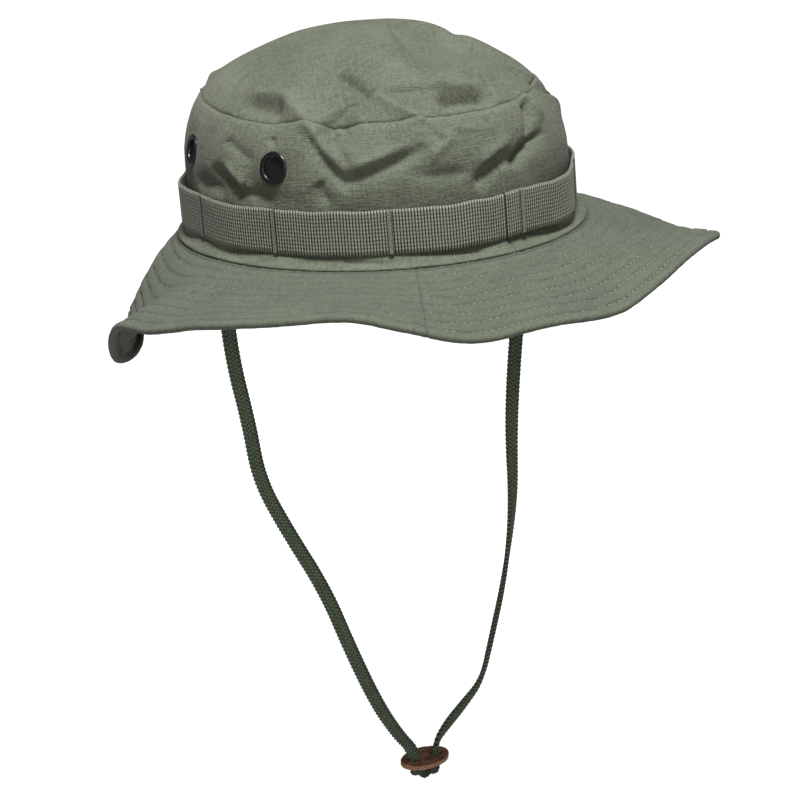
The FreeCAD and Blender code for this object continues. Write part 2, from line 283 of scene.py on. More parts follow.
def make_mesh(name, points, faces, finish, cloth=None):
    """A smooth-shaded object from points in millimetres and rows of faces."""
    name = "detailed_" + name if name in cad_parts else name
    faces = [f for block in faces for f in np.asarray(block).tolist()]
    used = np.unique([v for f in faces for v in f])
    place = np.full(len(points), -1)
    place[used] = np.arange(len(used))
    mesh = bpy.data.meshes.new(name)
    mesh.from_pydata((points[used] * mm).tolist(), [], [place[f].tolist() for f in faces])
    mesh.polygons.foreach_set("use_smooth", [True] * len(mesh.polygons))
    if cloth is not None:
        layer = mesh.attributes.new("cloth", "FLOAT_VECTOR", "POINT")
        layer.data.foreach_set("vector", cloth[used].astype(np.float32).ravel())
    mesh.materials.append(finish)
    piece = bpy.data.objects.new(name, mesh)
    bpy.context.scene.collection.objects.link(piece)
    pieces[name] = piece
    return piece


def shell(name, outer, inner, cloth, finish, closed=False, keep=None):
    """Closed sheet between two grids of points. keep says which cells are cloth."""
    rows, columns = outer.shape[:2]
    across = columns if closed else columns - 1
    i, j = np.meshgrid(np.arange(rows - 1), np.arange(across), indexing="ij")
    next_j = (j + 1) % columns
    cells = np.stack([i * columns + j, i * columns + next_j, (i + 1) * columns + next_j,
                      (i + 1) * columns + j], -1)
    keep = np.ones(i.shape, bool) if keep is None else keep
    under = rows * columns
    faces = [cells[keep], (cells[keep] + under)[:, ::-1]]
    beside = np.pad(keep, 1)
    if closed:
        beside[1:-1, 0] = keep[:, -1]
        beside[1:-1, -1] = keep[:, 0]
    walls = ((beside[:-2, 1:-1], 0, 1), (beside[1:-1, 2:], 1, 2), (beside[2:, 1:-1], 2, 3),
             (beside[1:-1, :-2], 3, 0))
    for neighbour, a, b in walls:
        edge = cells[keep & ~neighbour]
        faces.append(np.stack([edge[:, b], edge[:, a], edge[:, a] + under,
                               edge[:, b] + under], -1))
    points = np.concatenate([outer.reshape(-1, 3), inner.reshape(-1, 3)])
    flat = cloth.reshape(-1, 3)
    return make_mesh(name, points, faces, finish, np.concatenate([flat, flat]))


def dress(piece, node, body="hat"):
    """Let a piece stand for a CAD node: hide the node and attach the piece to the body it rides
    on.
    """
    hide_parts(node)
    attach(piece, body)
    print(piece.name, len(piece.data.polygons), "faces")


def unit(vectors):
    return vectors / np.maximum(np.linalg.norm(vectors, axis=-1, keepdims=True), 1e-12)


def grid_normals(grid, closed=False):
    """Normals of a grid of points, from the steps along its rows and columns."""
    if closed:
        along = np.roll(grid, -1, 1) - np.roll(grid, 1, 1)
    else:
        along = np.gradient(grid, axis=1)
    return unit(np.cross(along, np.gradient(grid, axis=0)))


def smooth_through(knots, x, period=None):
    """A smooth curve through (x, y) knots in rising order, read at every x."""
    knots = np.array(knots, float)
    x = np.asarray(x, float)
    if period:
        start = knots[0, 0]
        knots = np.vstack([knots[-1:] - (period, 0), knots, knots[:2] + (period, 0)])
        x = (x - start) % period + start
    kx, ky = knots.T
    slope = np.gradient(ky, kx)
    slope[1:-1] = (ky[2:] - ky[:-2]) / (kx[2:] - kx[:-2])
    i = np.clip(np.searchsorted(kx, x, side="right") - 1, 0, len(kx) - 2)
    w = kx[i + 1] - kx[i]
    t = (x - kx[i]) / w
    return ((2 * t**3 - 3 * t**2 + 1) * ky[i] + (t**3 - 2 * t**2 + t) * w * slope[i]
            + (3 * t**2 - 2 * t**3) * ky[i + 1] + (t**3 - t**2) * w * slope[i + 1])


def bump(distance, width):
    """1 at no distance, falling off smoothly within about that width."""
    return np.exp(-(distance / width) ** 2)


def turn_from(angle, place):
    """Degrees from a place to an angle, the short way round."""
    return (np.asarray(angle, float) - place + 180) % 360 - 180


def fade(x, a, b):
    """0 up to a, 1 from b on, smooth between; works downwards too."""
    t = np.clip((np.asarray(x, float) - a) / (b - a), 0, 1)
    return t * t * (3 - 2 * t)


# %% [markdown]
# ## The crown before it is creased
#
# Angles run round the hat from the front towards the wearer's left. Heights run up the
# side and then on over the top towards its middle, so that one pair of numbers names any
# place on the crown. The sizes are the ones the CAD crown was drawn with, and the print
# checks them against the CAD surface.

# %% Crown's surface
oval = 0.885
shoulder, seam_height = 86.0, 65.0
dome_rise, dome_power = 31.0, 2.5
crown_foot = 0.6
cloth_t = 0.8
crown_knots = ((-4, 112.5), (0, 107.5), (3, 103.2), (7, 99.9), (16, 98.8), (27, 99.6),
               (38, 99.6), (50, 97.0), (59, 92.2), (seam_height, shoulder), (69, 80.5))


def crown_rest(angle, height):
    angle, height = np.broadcast_arrays(np.radians(angle), np.asarray(height, float))
    share = 1 - (height - seam_height) / shoulder
    on_top = height > seam_height
    r = np.where(on_top, shoulder * share, smooth_through(crown_knots, height))
    dome = seam_height + dome_rise * (1 - np.clip(share, 0, 1) ** dome_power)
    return np.stack([oval * r * np.sin(angle), -r * np.cos(angle),
                     np.where(on_top, dome, height)], -1)


side_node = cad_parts["crown_side_left"]
tries = crown_rest([30, 60, 130, 150], [20, 35, 12, 55])
gaps = [(side_node.closest_point_on_mesh(Vector(p * mm))[1] - Vector(p * mm)).length / mm
        for p in tries]
print("crown surface is within %.2f mm of the CAD side" % max(gaps))

# %% [markdown]
# ## Creases
#
# Thin cotton keeps the dents of its packing. A crease here is a soft line drawn on the
# crown through a few places, with a width and a depth: negative for a valley, positive
# for a ridge. Its effect fades across the line and towards both ends. A cloth simulation
# would put folds where it likes; drawing them puts the notch on the top, the long
# ridge that runs down over the seam and the hollows above the band where they belong, and
# ridged noise between them adds the small crumples nobody would draw.

# %% Creases of the crown
# width, depth, then (angle, height) places along the line
creases = (
    # broad, soft shapes: full above the wearer's right, slack on the left and the top
    (24.0, 3.2, ((-158, 68), (-140, 73), (-118, 73), (-100, 70))),
    (17.0, -4.6, ((38, 69), (46, 68), (54, 69))),
    (12.0, -2.4, ((38, 57), (44, 56), (50, 55))),
    (30.0, -7.0, ((70, 96), (50, 104), (10, 112), (-20, 116))),
    # the long ridge down over the seam, and the hollow beside it
    (5.0, 2.6, ((-76, 78), (-73, 76), (-63, 68), (-57, 60), (-50, 51), (-46, 44))),
    (4.0, -2.4, ((-62, 63), (-59, 60), (-54, 50), (-50, 43), (-47, 36))),
    # the hollow above the seam on the wearer's right, with a fold over it
    (6.5, -3.2, ((-96, 69), (-88, 71), (-80, 71), (-74, 70), (-69, 69))),
    (4.5, 1.6, ((-97, 75), (-88, 77), (-78, 78), (-70, 77), (-62, 79))),
    # the notch on the top and the lines that leave it
    (3.6, -3.4, ((-54, 92), (-50, 89), (-44, 84), (-40, 79), (-38, 76))),
    (2.4, -1.6, ((-38, 78), (-40, 77), (-45, 73.6), (-50, 69), (-56, 64))),
    (3.0, 1.1, ((-38, 82), (-32, 81.5), (-18, 81), (-5, 80), (5, 79))),
    (2.2, -0.8, ((-37, 79), (-30, 78.5), (-18, 78), (-8, 77))),
    (4.0, 2.4, ((-38, 79), (-36, 77), (-30, 71), (-24, 66), (-21, 62), (-18, 55))),
    # the seam sags between the two ridges
    (8.0, -4.2, ((-56, 66), (-53, 64), (-51, 61), (-48, 64), (-42, 68))),
    (3.2, -1.5, ((-53, 62), (-51, 58), (-48, 51), (-46, 47))),
    # the long hollow across the front right, and its ridge
    (4.5, -2.4, ((-50, 38), (-47, 40), (-36, 46), (-26, 52), (-22, 55))),
    (4.0, 1.8, ((-47, 46), (-43, 48), (-39, 50), (-31, 54), (-26, 58))),
    # hollows above the band on the wearer's right
    (4.0, -1.8, ((-56, 41), (-55, 38), (-54, 33), (-51, 27))),
    (2.0, -1.6, ((-72, 60), (-71, 57), (-69.5, 53))),
    (4.2, -3.2, ((-96, 43), (-93, 40), (-87, 37), (-83, 31), (-80, 26))),
    (5.5, -2.6, ((-107, 32), (-100, 33), (-93, 32), (-88, 28))),
    (4.0, 1.8, ((-90, 46), (-85, 42), (-80, 36), (-77, 31))),
    (4.5, -2.0, ((-82, 36), (-80, 34), (-74, 31), (-68, 30))),
    (3.2, -1.2, ((-90, 56), (-89, 55), (-81, 50), (-76, 46))),
    # the hollow on the top at the front, under its fold
    (4.4, -5.4, ((-16, 73), (-10, 72.5), (-2, 72), (6, 70.5), (12, 67))),
    (3.2, 2.2, ((-14, 82), (-10, 80.5), (-3, 78), (4, 77), (12, 75))),
    (2.6, -1.8, ((10, 88), (12, 82), (13, 76), (12, 70))),
    (3.2, 1.6, ((18, 95), (17, 90), (15, 80), (15.5, 69))),
    (3.0, -1.2, ((22, 79), (24, 75), (25.5, 71))),
    # the front and the wearer's left of it
    (3.6, 2.2, ((21, 68), (23, 65.5), (25, 63), (26, 58), (27, 52))),
    (3.2, -4.2, ((23, 64), (21, 60), (18, 54), (14, 48))),
    (3.8, -4.6, ((3, 38), (7, 41), (12, 45), (19, 47), (28, 49))),
    (4.6, -2.8, ((-11, 33), (-8, 35), (-4, 39), (2, 42), (8, 42))),
    (4.0, 1.6, ((-9, 42), (-4, 45), (2, 49), (8, 52))),
    (2.6, -1.5, ((-23, 64), (-21, 62), (-18.5, 57), (-17, 53))),
    (2.6, 1.0, ((-15, 60), (-11, 59.5), (-2, 57), (4, 57))),
    (3.4, 1.1, ((-13, 59), (-15, 56), (-20, 51), (-23, 45))),
    (4.6, -1.6, ((-31, 45), (-24, 41), (-16, 40), (-10, 41))),
    # puckers under the band
    (2.6, -1.1, ((-50, 7), (-48, 5), (-42, 3.4), (-36, 3))),
    (2.4, -0.8, ((-18, 6), (-13, 4), (-8, 3.4))),
    # the wearer's left, the back and the rear of the top
    (5.0, -3.0, ((48, 66), (52, 62), (60, 52), (64, 40))),
    (4.5, 2.2, ((40, 72), (46, 66), (53, 56), (57, 44))),
    (5.5, -3.0, ((80, 74), (88, 70), (97, 71), (106, 68))),
    (4.0, -2.2, ((98, 60), (104, 52), (112, 34), (118, 30))),
    (5.0, -3.2, ((132, 67), (138, 60), (143, 47), (141, 36))),
    (4.5, 2.2, ((124, 74), (130, 66), (133, 56), (131, 44))),
    (5.5, -2.8, ((160, 77), (168, 70), (176, 63), (181, 52))),
    (4.5, 2.0, ((170, 79), (180, 72), (187, 64), (190, 54))),
    (5.5, -3.0, ((-150, 70), (-158, 64), (-163, 52), (-160, 40))),
    (4.5, 2.0, ((-138, 74), (-146, 67), (-151, 56), (-150, 43))),
    (5.0, -2.4, ((-128, 60), (-133, 48), (-130, 36), (-122, 31))),
    (6.0, -2.2, ((120, 118), (140, 110), (168, 106), (-166, 104))),
    (6.0, -1.8, ((60, 108), (78, 98), (98, 92), (112, 88))),
)


def crease_at(points, width, depth, places):
    """Displacement that one crease gives at each point."""
    angles, heights = np.array(places, float).T
    angles = np.degrees(np.unwrap(np.radians(angles)))
    knots = np.arange(len(places))
    fine = np.linspace(0, len(places) - 1, 5 * (len(places) - 1) + 1)
    line = crown_rest(smooth_through(np.stack([knots, angles], 1), fine),
                      smooth_through(np.stack([knots, heights], 1), fine))
    nearest = np.full(len(points), 1e9)
    along = np.zeros(len(points))
    for i, (a, b) in enumerate(zip(line, line[1:])):
        step = b - a
        t = np.clip((points - a) @ step / (step @ step), 0, 1)
        gap = np.linalg.norm(points - a - t[:, None] * step, axis=1)
        closer = gap < nearest
        nearest[closer] = gap[closer]
        along[closer] = (i + t[closer]) / (len(line) - 1)
    ends = fade(along, 0.0, 0.3) * fade(along, 1.0, 0.7)
    return depth * ends / (1 + (nearest / width) ** 2) ** 1.7


# %% [markdown]
# The displacement of the whole crown is the creases plus two layers of noise: broad, soft
# swells and ridged crumples. It is held back near the vents, which are rigid, under the
# band, which presses the cloth flat, and at the foot, which is sewn to the brim. Puckers
# run away from the top seam, where the thread draws the cloth in.

# %% Crumpled crown
vent_spread, vent_height = 20.5, 46.0
vent_angles = (90 - vent_spread, 90 + vent_spread, vent_spread - 90, -90 - vent_spread)
band_foot, band_width = 6.6, 21.0
crease_gain = 1.3


def soft_noise(places):
    return np.array([noise.noise(Vector(p)) for p in places])


def noise_at(points, scale, kind):
    rows = (points * scale).tolist()
    if kind == "swell":
        return soft_noise(rows)
    return np.array([noise.ridged_multi_fractal(Vector(p), 0.9, 2.1, 4, 0.9, 1.6)
                     for p in rows]) - 1.3


def crumple(angle, height):
    """How far the crown's cloth stands out from its smooth shape, in millimetres."""
    angle, height = np.broadcast_arrays(np.asarray(angle, float), np.asarray(height, float))
    points = crown_rest(angle, height).reshape(-1, 3)
    height, angle = height.ravel(), angle.ravel()
    out = crease_gain * sum(crease_at(points, *crease) for crease in creases)
    out += 0.9 * noise_at(points, 0.022, "swell") + 0.5 * noise_at(points, 0.055, "swell")
    out += 0.35 * noise_at(points, 0.024, "ridge") * fade(height, 130, 70)
    near_seam = bump(height - seam_height, 4.5)
    pucker = soft_noise((a * 0.42, h * 0.05, 3.0) for a, h in zip(angle, height))
    out += 0.55 * pucker * near_seam
    for place in vent_angles:
        centre = crown_rest(place, vent_height)
        out *= fade(np.linalg.norm(points - centre, axis=1), 7.5, 15)
    band_top = band_foot + band_width
    out *= np.maximum(fade(height, band_foot - 1, band_foot - 3),
                      0.12 + 0.88 * fade(height, band_top - 2, band_top + 7))
    out *= fade(height, crown_foot, crown_foot + 3)
    return out


def level_corners(normals):
    """A square grid pressed into a circle is flat at its corners: copy normals there."""
    for rows, i in ((slice(0, 3), 3), (slice(-3, None), -4)):
        for columns, j in ((slice(0, 3), 3), (slice(-3, None), -4)):
            normals[rows, columns] = normals[i, j]
    return normals


def crown_grid(angle, height, depth=0.0, closed=False, pressed=False):
    """Points of the crumpled crown at a depth under its outer face, with their normals."""
    mend = level_corners if pressed else (lambda normals: normals)
    rest = crown_rest(angle, height)
    worn = crumple(angle, height).reshape(rest.shape[:2])
    shape = rest + mend(grid_normals(rest, closed)) * worn[..., None]
    normals = mend(grid_normals(shape, closed))
    return shape - normals * depth, normals, worn


# %% [markdown]
# ## Side panels and top
#
# The two side panels meet at the front and back. Each is a fine grid with the vents'
# holes left out of it. The top is a disc of cloth: a square grid pressed into a circle
# keeps its cells even, where a fan of slices would pinch them at the middle. Along the
# seam both cloths turn in a little, and the side's folded edge stands proud of the top,
# which draws the seam as a dark line beside a lit one; the colour adds to both, with
# painted shade in the seam and a painted highlight on the folded edge.

# %% Side panels
hole_r = 6.3
crown_r, strip_r = 99.0, 98.0       # radii that turn an angle into an arc


def seam_edge(height, at, reach):
    """Roll of a folded edge: flat inside, a bead at the edge, then turned in."""
    inside = np.abs(height - at)
    return 0.42 * bump(inside - 1.3, 0.7) - reach * bump(inside, 0.55)


def side_panel(name, first, last):
    """One side of the crown, between two seams' angles, with the vents' holes."""
    angles = np.linspace(first, last, 371)[None, :]
    heights = np.linspace(crown_foot, seam_height + 0.3, 88)[:, None]
    angles, heights = np.broadcast_arrays(angles, heights)
    outer, normals, worn = crown_grid(angles, heights)
    lift = seam_edge(heights, seam_height + 0.3, 0.6)
    lift = lift + 0.6 * bump(heights - crown_foot - 0.4, 1.2)
    for seam in (first, last):
        lift = lift - 0.3 * bump(angles - seam, 0.4)
        lift = lift + 0.16 * bump(np.abs(angles - seam) - 1.1, 0.5)
    outer = outer + normals * lift[..., None]
    inner = outer - normals * cloth_t
    arc = np.radians(angles) * (1 + oval) / 2 * crown_r
    # The cloth's third number: paler on raised creases and on the seam's folded bead, as wear
    # and painted highlight; painted shade in the top seam and beside the front and back seams.
    ridge = np.clip(worn / 4, 0, 0.7) + 0.7 * bump(heights - seam_height + 1.3, 0.9)
    ridge = ridge - 1.0 * bump(heights - seam_height - 0.3, 0.45)
    ridge = ridge - 0.3 * bump(np.minimum(angles - first, last - angles), 0.4)
    cloth = np.stack([arc, heights, np.clip(ridge, -1, 1)], -1)
    middle = crown_rest((angles[:-1, :-1] + angles[1:, 1:]) / 2,
                        (heights[:-1, :-1] + heights[1:, 1:]) / 2)
    keep = np.ones(middle.shape[:2], bool)
    for place in vent_angles:
        keep &= np.linalg.norm(middle - crown_rest(place, vent_height), axis=-1) > hole_r
    dress(shell(name, outer, inner, cloth, crown_finish, keep=keep), name)


side_panel("crown_side_right", -180, 0)
side_panel("crown_side_left", 0, 180)

# %% Top
def top_panel():
    side = np.linspace(-1, 1, 211)
    u, v = np.meshgrid(side, side)
    x, y = u * np.sqrt(1 - v**2 / 2), v * np.sqrt(1 - u**2 / 2)
    share = np.hypot(x, y)
    angles = np.degrees(np.arctan2(x, -y))
    heights = seam_height + shoulder * (1 - share) + 0.05
    outer, normals, worn = crown_grid(angles, heights, pressed=True)
    lift = -0.75 * bump(heights - seam_height, 0.8)
    outer = outer + normals * lift[..., None]
    inner = outer - normals * cloth_t
    turn = math.radians(28)
    across, ahead = x * shoulder * oval, y * shoulder
    # The cloth's third number: paler on raised creases, as wear and painted highlight; painted
    # shade along the seam.
    ridge = np.clip(worn / 5, 0, 0.7) - 0.8 * bump(heights - seam_height, 0.7)
    cloth = np.stack([across * math.cos(turn) - ahead * math.sin(turn),
                      across * math.sin(turn) + ahead * math.cos(turn), ridge], -1)
    dress(shell("crown_top", outer, inner, cloth, crown_finish), "crown_top")


top_panel()

# %% [markdown]
# ## Thread
#
# A stitch is a short bead of thread that comes up out of one hole and goes down into the
# next. A particle or array modifier could repeat one bead, but it would not follow the
# creases. Here `walk` goes along a path in equal steps, `stitch_beads` lays one bead per
# step, low enough that both ends dip into the cloth, and `sew` puts them in one mesh.

# %% Stitches
sewing_finish, wire, shader = start_finish("sewing_thread", Roughness=0.6, Sheen_Weight=0.2)
flat = attribute(wire, "cloth")
stretch, side, crest = flat.split()
speckle = wire.make("TexCoord", out="Object").noise(900.0)
thread_tone = mixed(speckle, swatch(126, 132, 112), swatch(170, 175, 155))
# Painted shade: each bead of thread is painted near-black at both ends, where it dips into its
# needle hole.
wire.plug(shader.inputs["Base Color"],
          mixed(crest.step(0.25, 0.9), swatch(26, 30, 22), thread_tone))


def walk(points, normals, pitch):
    """Ends of equal steps along a path, with the path's normals there."""
    steps = np.linalg.norm(np.diff(points, axis=0), axis=1)
    gone = np.concatenate([[0], np.cumsum(steps)])
    marks = np.linspace(0, gone[-1], max(2, int(round(gone[-1] / pitch)) + 1))
    place = np.stack([np.interp(marks, gone, points[:, k]) for k in range(3)], 1)
    facing = np.stack([np.interp(marks, gone, normals[:, k]) for k in range(3)], 1)
    return place, unit(facing)


def stitch_beads(starts, ends, normals, thread_r, lift, share=0.88):
    """Points and faces of one bead of thread per start and end."""
    rings, sides = 6, 6
    t = np.linspace(0, 1, rings)
    middle = (starts + ends) / 2
    half = (ends - starts) / 2 * share
    along = unit(half)
    across = unit(np.cross(normals, along))
    bow = 1 - (2 * t - 1) ** 4
    size = thread_r * (0.35 + 0.65 * bow)
    turn = np.linspace(0, math.tau, sides, endpoint=False)
    ring_up = size[:, None] * np.sin(turn)[None, :] * 0.75 + (lift * (bow - 0.6))[:, None]
    ring_out = size[:, None] * np.cos(turn)[None, :]
    points = (middle[:, None, None] + half[:, None, None] * (2 * t - 1)[None, :, None, None]
              + across[:, None, None] * ring_out[None, :, :, None]
              + normals[:, None, None] * ring_up[None, :, :, None])
    count = len(starts)
    first = np.arange(count)[:, None, None] * rings * sides
    i = np.arange(rings - 1)[None, :, None] * sides
    j = np.arange(sides)[None, None, :]
    after = (j + 1) % sides
    quads = np.stack([first + i + j, first + i + after, first + i + sides + after,
                      first + i + sides + j], -1).reshape(-1, 4)
    caps = np.concatenate([first[:, 0] + np.arange(sides)[::-1],
                           first[:, 0] + (rings - 1) * sides + np.arange(sides)])
    # Third number: 1 in the middle of a bead and 0 at its ends, which the finish paints in
    # shade.
    crest = np.tile(np.repeat(np.sin(math.pi * t), sides), count)
    cloth = np.stack([0 * crest, 0 * crest, crest], -1)
    return points.reshape(-1, 3), quads, caps, cloth


def join(name, parts, finish, cloths=None):
    """One object from several (points, quads, caps)."""
    points, faces, count = [], [], 0
    for made, quads, caps in parts:
        points.append(made)
        faces += [quads + count, caps + count]
        count += len(made)
    cloth = None if cloths is None else np.concatenate(cloths)
    return make_mesh(name, np.concatenate(points), faces, finish, cloth)


def sew(name, paths, pitch, thread_r, lift):
    """One object with the stitches of several (points, normals) paths."""
    beads = []
    for points, normals in paths:
        place, facing = walk(points, normals, pitch)
        beads.append(stitch_beads(place[:-1], place[1:], unit(facing[:-1] + facing[1:]),
                                  thread_r, lift))
    piece = join(name, [bead[:3] for bead in beads], sewing_finish, [bead[3] for bead in beads])
    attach(piece, "hat")
    print(name, len(piece.data.polygons), "faces")


# %% Top seam's stitches
def crown_path(height, depth):
    """Path round the crown at a height, a depth under its outer face, with its normals."""
    angles = np.linspace(-180, 180, 721)[None, :]
    heights = height + np.linspace(-1, 1, 3)[:, None]
    points, normals, worn = crown_grid(*np.broadcast_arrays(angles, heights), depth)
    return points[1], normals[1]


sew("top_seam_stitches", [crown_path(seam_height - 2.0, 0.1)], 2.6, 0.27, 0.2)

# %% [markdown]
# ## Brim
#
# The brim is two halves of cloth sandwiches: an upper and a lower layer with stiffening
# cloth between them, quilted with rows of stitching that follow the edge. How steeply it
# falls changes round the hat, which makes its waves. Each row presses a groove, and the
# cloth swells a little between rows. The upper cloth is turned round the edge in a
# soft roll, where it gathers in tiny radial puckers.

# %% Brim's surface
brim_root, brim_width = 106.0, 69.0
brim_seam = -30.0
fall_start = 0.75
brim_fall = ((-180, 23), (-172, 28), (-160, 44), (-145, 55), (-128, 56), (-112, 54),
             (-98, 38), (-86, 13), (-77, 11), (-66, 6), (-54, 3), (-42, 2), (-33, 7),
             (-23, 14), (-11, 12), (2, 13), (10, 7), (20, 1), (32, 3), (48, 14),
             (62, 22), (85, 25), (110, 21), (140, 19), (162, 20))
ply_t, brim_t = 0.6, 2.5
felt_depth, felt_t = 0.95, 0.5
row_gap, hem_row = 7.9, 63.4
rows_at = [hem_row - row_gap * i for i in range(8)]
# where the edge curls under: angle, spread and how far it turns, in degrees
brim_curls = ((-123, 15, 150), (58, 12, 27))
curl_start = 54.0
# where the cloth draws in: angle, spread and share
brim_draws = ((-122, 22, 0.15), (57, 20, 0.15))


def brim_slope(angle, out):
    """How steeply the brim falls at a distance out from its inner edge, in radians."""
    fall = np.radians(smooth_through(brim_fall, angle, 360))
    slope = fall * (fall_start + 2 * (1 - fall_start) * out / brim_width)
    for place, spread, turn in brim_curls:
        near = bump(turn_from(angle, place), spread)
        slope = slope + math.radians(turn) * near * fade(out, curl_start, brim_width + 4)
    return slope


def brim_rest(angle, out, depth=0.0):
    """Points and normals of the brim at an angle, a distance out from its inner edge."""
    angle, out, depth = np.broadcast_arrays(*[np.asarray(v, float) for v in (angle, out, depth)])
    a = np.radians(angle)
    zero = np.zeros_like(a)
    base = np.stack([oval * brim_root * np.sin(a), -brim_root * np.cos(a), zero - 0.1], -1)
    away = unit(np.stack([np.sin(a), -oval * np.cos(a), zero], -1))
    rise = np.array((0, 0, 1.0))
    reach = out
    for place, spread, share in brim_draws:
        reach = reach - out * share * bump(turn_from(angle, place), spread)
    points, steps = base, 16
    for i in range(steps):
        mean = brim_slope(angle, out * (i + 0.5) / steps)
        step = away * np.cos(mean)[..., None] - rise * np.sin(mean)[..., None]
        points = points + step * (reach / steps)[..., None]
    slope = brim_slope(angle, out)
    normals = away * np.sin(slope)[..., None] + rise * np.cos(slope)[..., None]
    return points - normals * depth[..., None], normals


def brim_broad(angle, out):
    """Soft unevenness that both layers share, in millimetres."""
    points = brim_rest(angle, out)[0].reshape(-1, 3)
    soft = 1.1 * noise_at(points, 0.02, "swell") + 0.4 * noise_at(points, 0.055, "swell")
    return soft.reshape(out.shape) * fade(out, 3, 16)


def brim_relief(angle, out):
    """Relief of the stitched cloth: grooves, swells between them and puckers."""
    near = np.min([np.abs(out - row) for row in rows_at], axis=0)
    swell = 0.5 * np.sin(np.clip(near / row_gap, 0, 0.5) * math.pi)
    groove = -0.7 * bump(near, 0.55)
    arc = np.radians(angle) * 140
    fine = soft_noise((a * 0.33, o * 0.12, 0.0) for a, o in zip(arc.ravel(), out.ravel()))
    fine = fine.reshape(out.shape)
    hem = fade(out, hem_row, hem_row + 2.0)
    root = bump(out - 2.2, 0.9)
    puckers = fine * (0.4 + 0.5 * bump(near, 1.8)) * (1 - 0.6 * hem)
    made = swell + groove - 0.5 * root + 0.1 * hem + puckers
    for place in (brim_seam, brim_seam + 180):
        off = np.abs(turn_from(angle, place)) * math.pi / 180 * (90 + out)
        made = made - 0.12 * bump(off, 0.5) + 0.12 * bump(off - 1.8, 0.9)
    return made


# %% Brim's two layers and the stiffening between them
def brim_face(angles, out, depth):
    """Outer face of a layer, its normals, and the relief on it."""
    angles, out, depth = np.broadcast_arrays(angles, out, depth)
    rest, upward = brim_rest(angles, out, depth)
    worn = brim_relief(angles, out)
    outward = grid_normals(rest)
    points = rest + upward * brim_broad(angles, out)[..., None] + outward * worn[..., None]
    return points, grid_normals(points), worn


def brim_cloth(angles, out, worn):
    """The cloth is cut flat, so its yarns run straight across each half."""
    a = np.radians(angles)
    # The third number: paler at the edge and on the swells between rows, as wear and painted
    # highlight; painted shade in the stitched grooves and at the root under the crown.
    edge = 0.3 * bump(out - brim_width, 2.0)
    near = np.min([np.abs(out - row) for row in rows_at], axis=0)
    groove = 0.7 * bump(near, 0.6) + bump(out - 1.8, 0.8)
    return np.stack([np.sin(a) * (94 + out), np.cos(a) * (106 + out),
                     np.clip(edge + 0.3 * worn - 0.75 * groove, -1, 1)], -1)


def brim_layer(name, angles, out, face, outward, worn):
    cloth = brim_cloth(np.broadcast_to(angles, worn.shape),
                       np.broadcast_to(out, worn.shape), worn)
    dress(shell(name, face, face - outward * ply_t, cloth, brim_finish), name)


def upper_layer(half, start):
    """The upper cloth, turned round the edge in a half circle and lapped underneath."""
    angles = np.linspace(start + 180, start, 431)[None, :]
    turn = np.linspace(0, math.pi, 9)[1:, None]
    bend_r = brim_t / 2
    flat = np.linspace(0, brim_width - bend_r, 96)[:, None]
    out = np.concatenate([flat, brim_width - bend_r + bend_r * np.sin(turn),
                          [[brim_width - 2.4], [brim_width - 3.4]]])
    depth = np.concatenate([0 * flat, bend_r * (1 - np.cos(turn)),
                            [[brim_t + 0.1], [brim_t + 0.1]]])
    face, outward, worn = brim_face(angles, out, depth)
    brim_layer("brim_upper_" + half, angles, out, face, outward, worn)


def lower_layer(half, start):
    """The lower cloth, which stops inside the turned edge of the upper one."""
    angles = np.linspace(start, start + 180, 431)[None, :]
    out = np.linspace(0, brim_width - 2.2, 72)[:, None]
    face, outward, worn = brim_face(angles, out, brim_t)
    brim_layer("brim_lower_" + half, angles, out, face, outward, worn)


stiffening_finish, wire, shader = start_finish("stiffening_felt", Roughness=0.95)
fibres = wire.make("TexCoord", out="Object").noise(1400.0, 4.0)
wire.plug(shader.inputs["Base Color"],
          mixed(fibres, swatch(150, 152, 140), swatch(190, 191, 180)))


def stiffening(half, start):
    """The stiffening cloth, in the middle between the two layers."""
    angles = np.linspace(start + 180, start, 181)[None, :]
    out = np.linspace(0.5, brim_width - 8, 36)[:, None]
    angles, out = np.broadcast_arrays(angles, out)
    rest, upward = brim_rest(angles, out, felt_depth)
    face = rest + upward * brim_broad(angles, out)[..., None]
    cloth = brim_cloth(angles, out, 0 * out)
    name = "brim_interlining_" + half
    dress(shell(name, face, face - upward * felt_t, cloth, stiffening_finish), name)


halves = (("front", brim_seam), ("back", brim_seam + 180))
for half, start in halves:
    upper_layer(half, start)
    lower_layer(half, start)
    stiffening(half, start)


# %% Brim's rows of stitches
def brim_path(row, start, depth):
    """Path of one row of stitches on the upper (depth 0) or lower face."""
    first, last = (start + 0.6, start + 179.4) if depth else (start + 179.4, start + 0.6)
    angles = np.linspace(first, last, 500)[None, :]
    out = row + np.linspace(-0.5, 0.5, 3)[:, None]
    points, normals, worn = brim_face(angles, out, depth)
    return points[1] + normals[1] * 0.12, normals[1]


for half, start in halves:
    for side, depth in (("upper", 0.0), ("lower", brim_t)):
        paths = [brim_path(row, start, depth) for row in rows_at]
        sew("brim_%s_stitches_%s" % (side, half), paths, 3.0, 0.3, 0.3)
print("rows of stitches on each face of the brim:", len(rows_at))
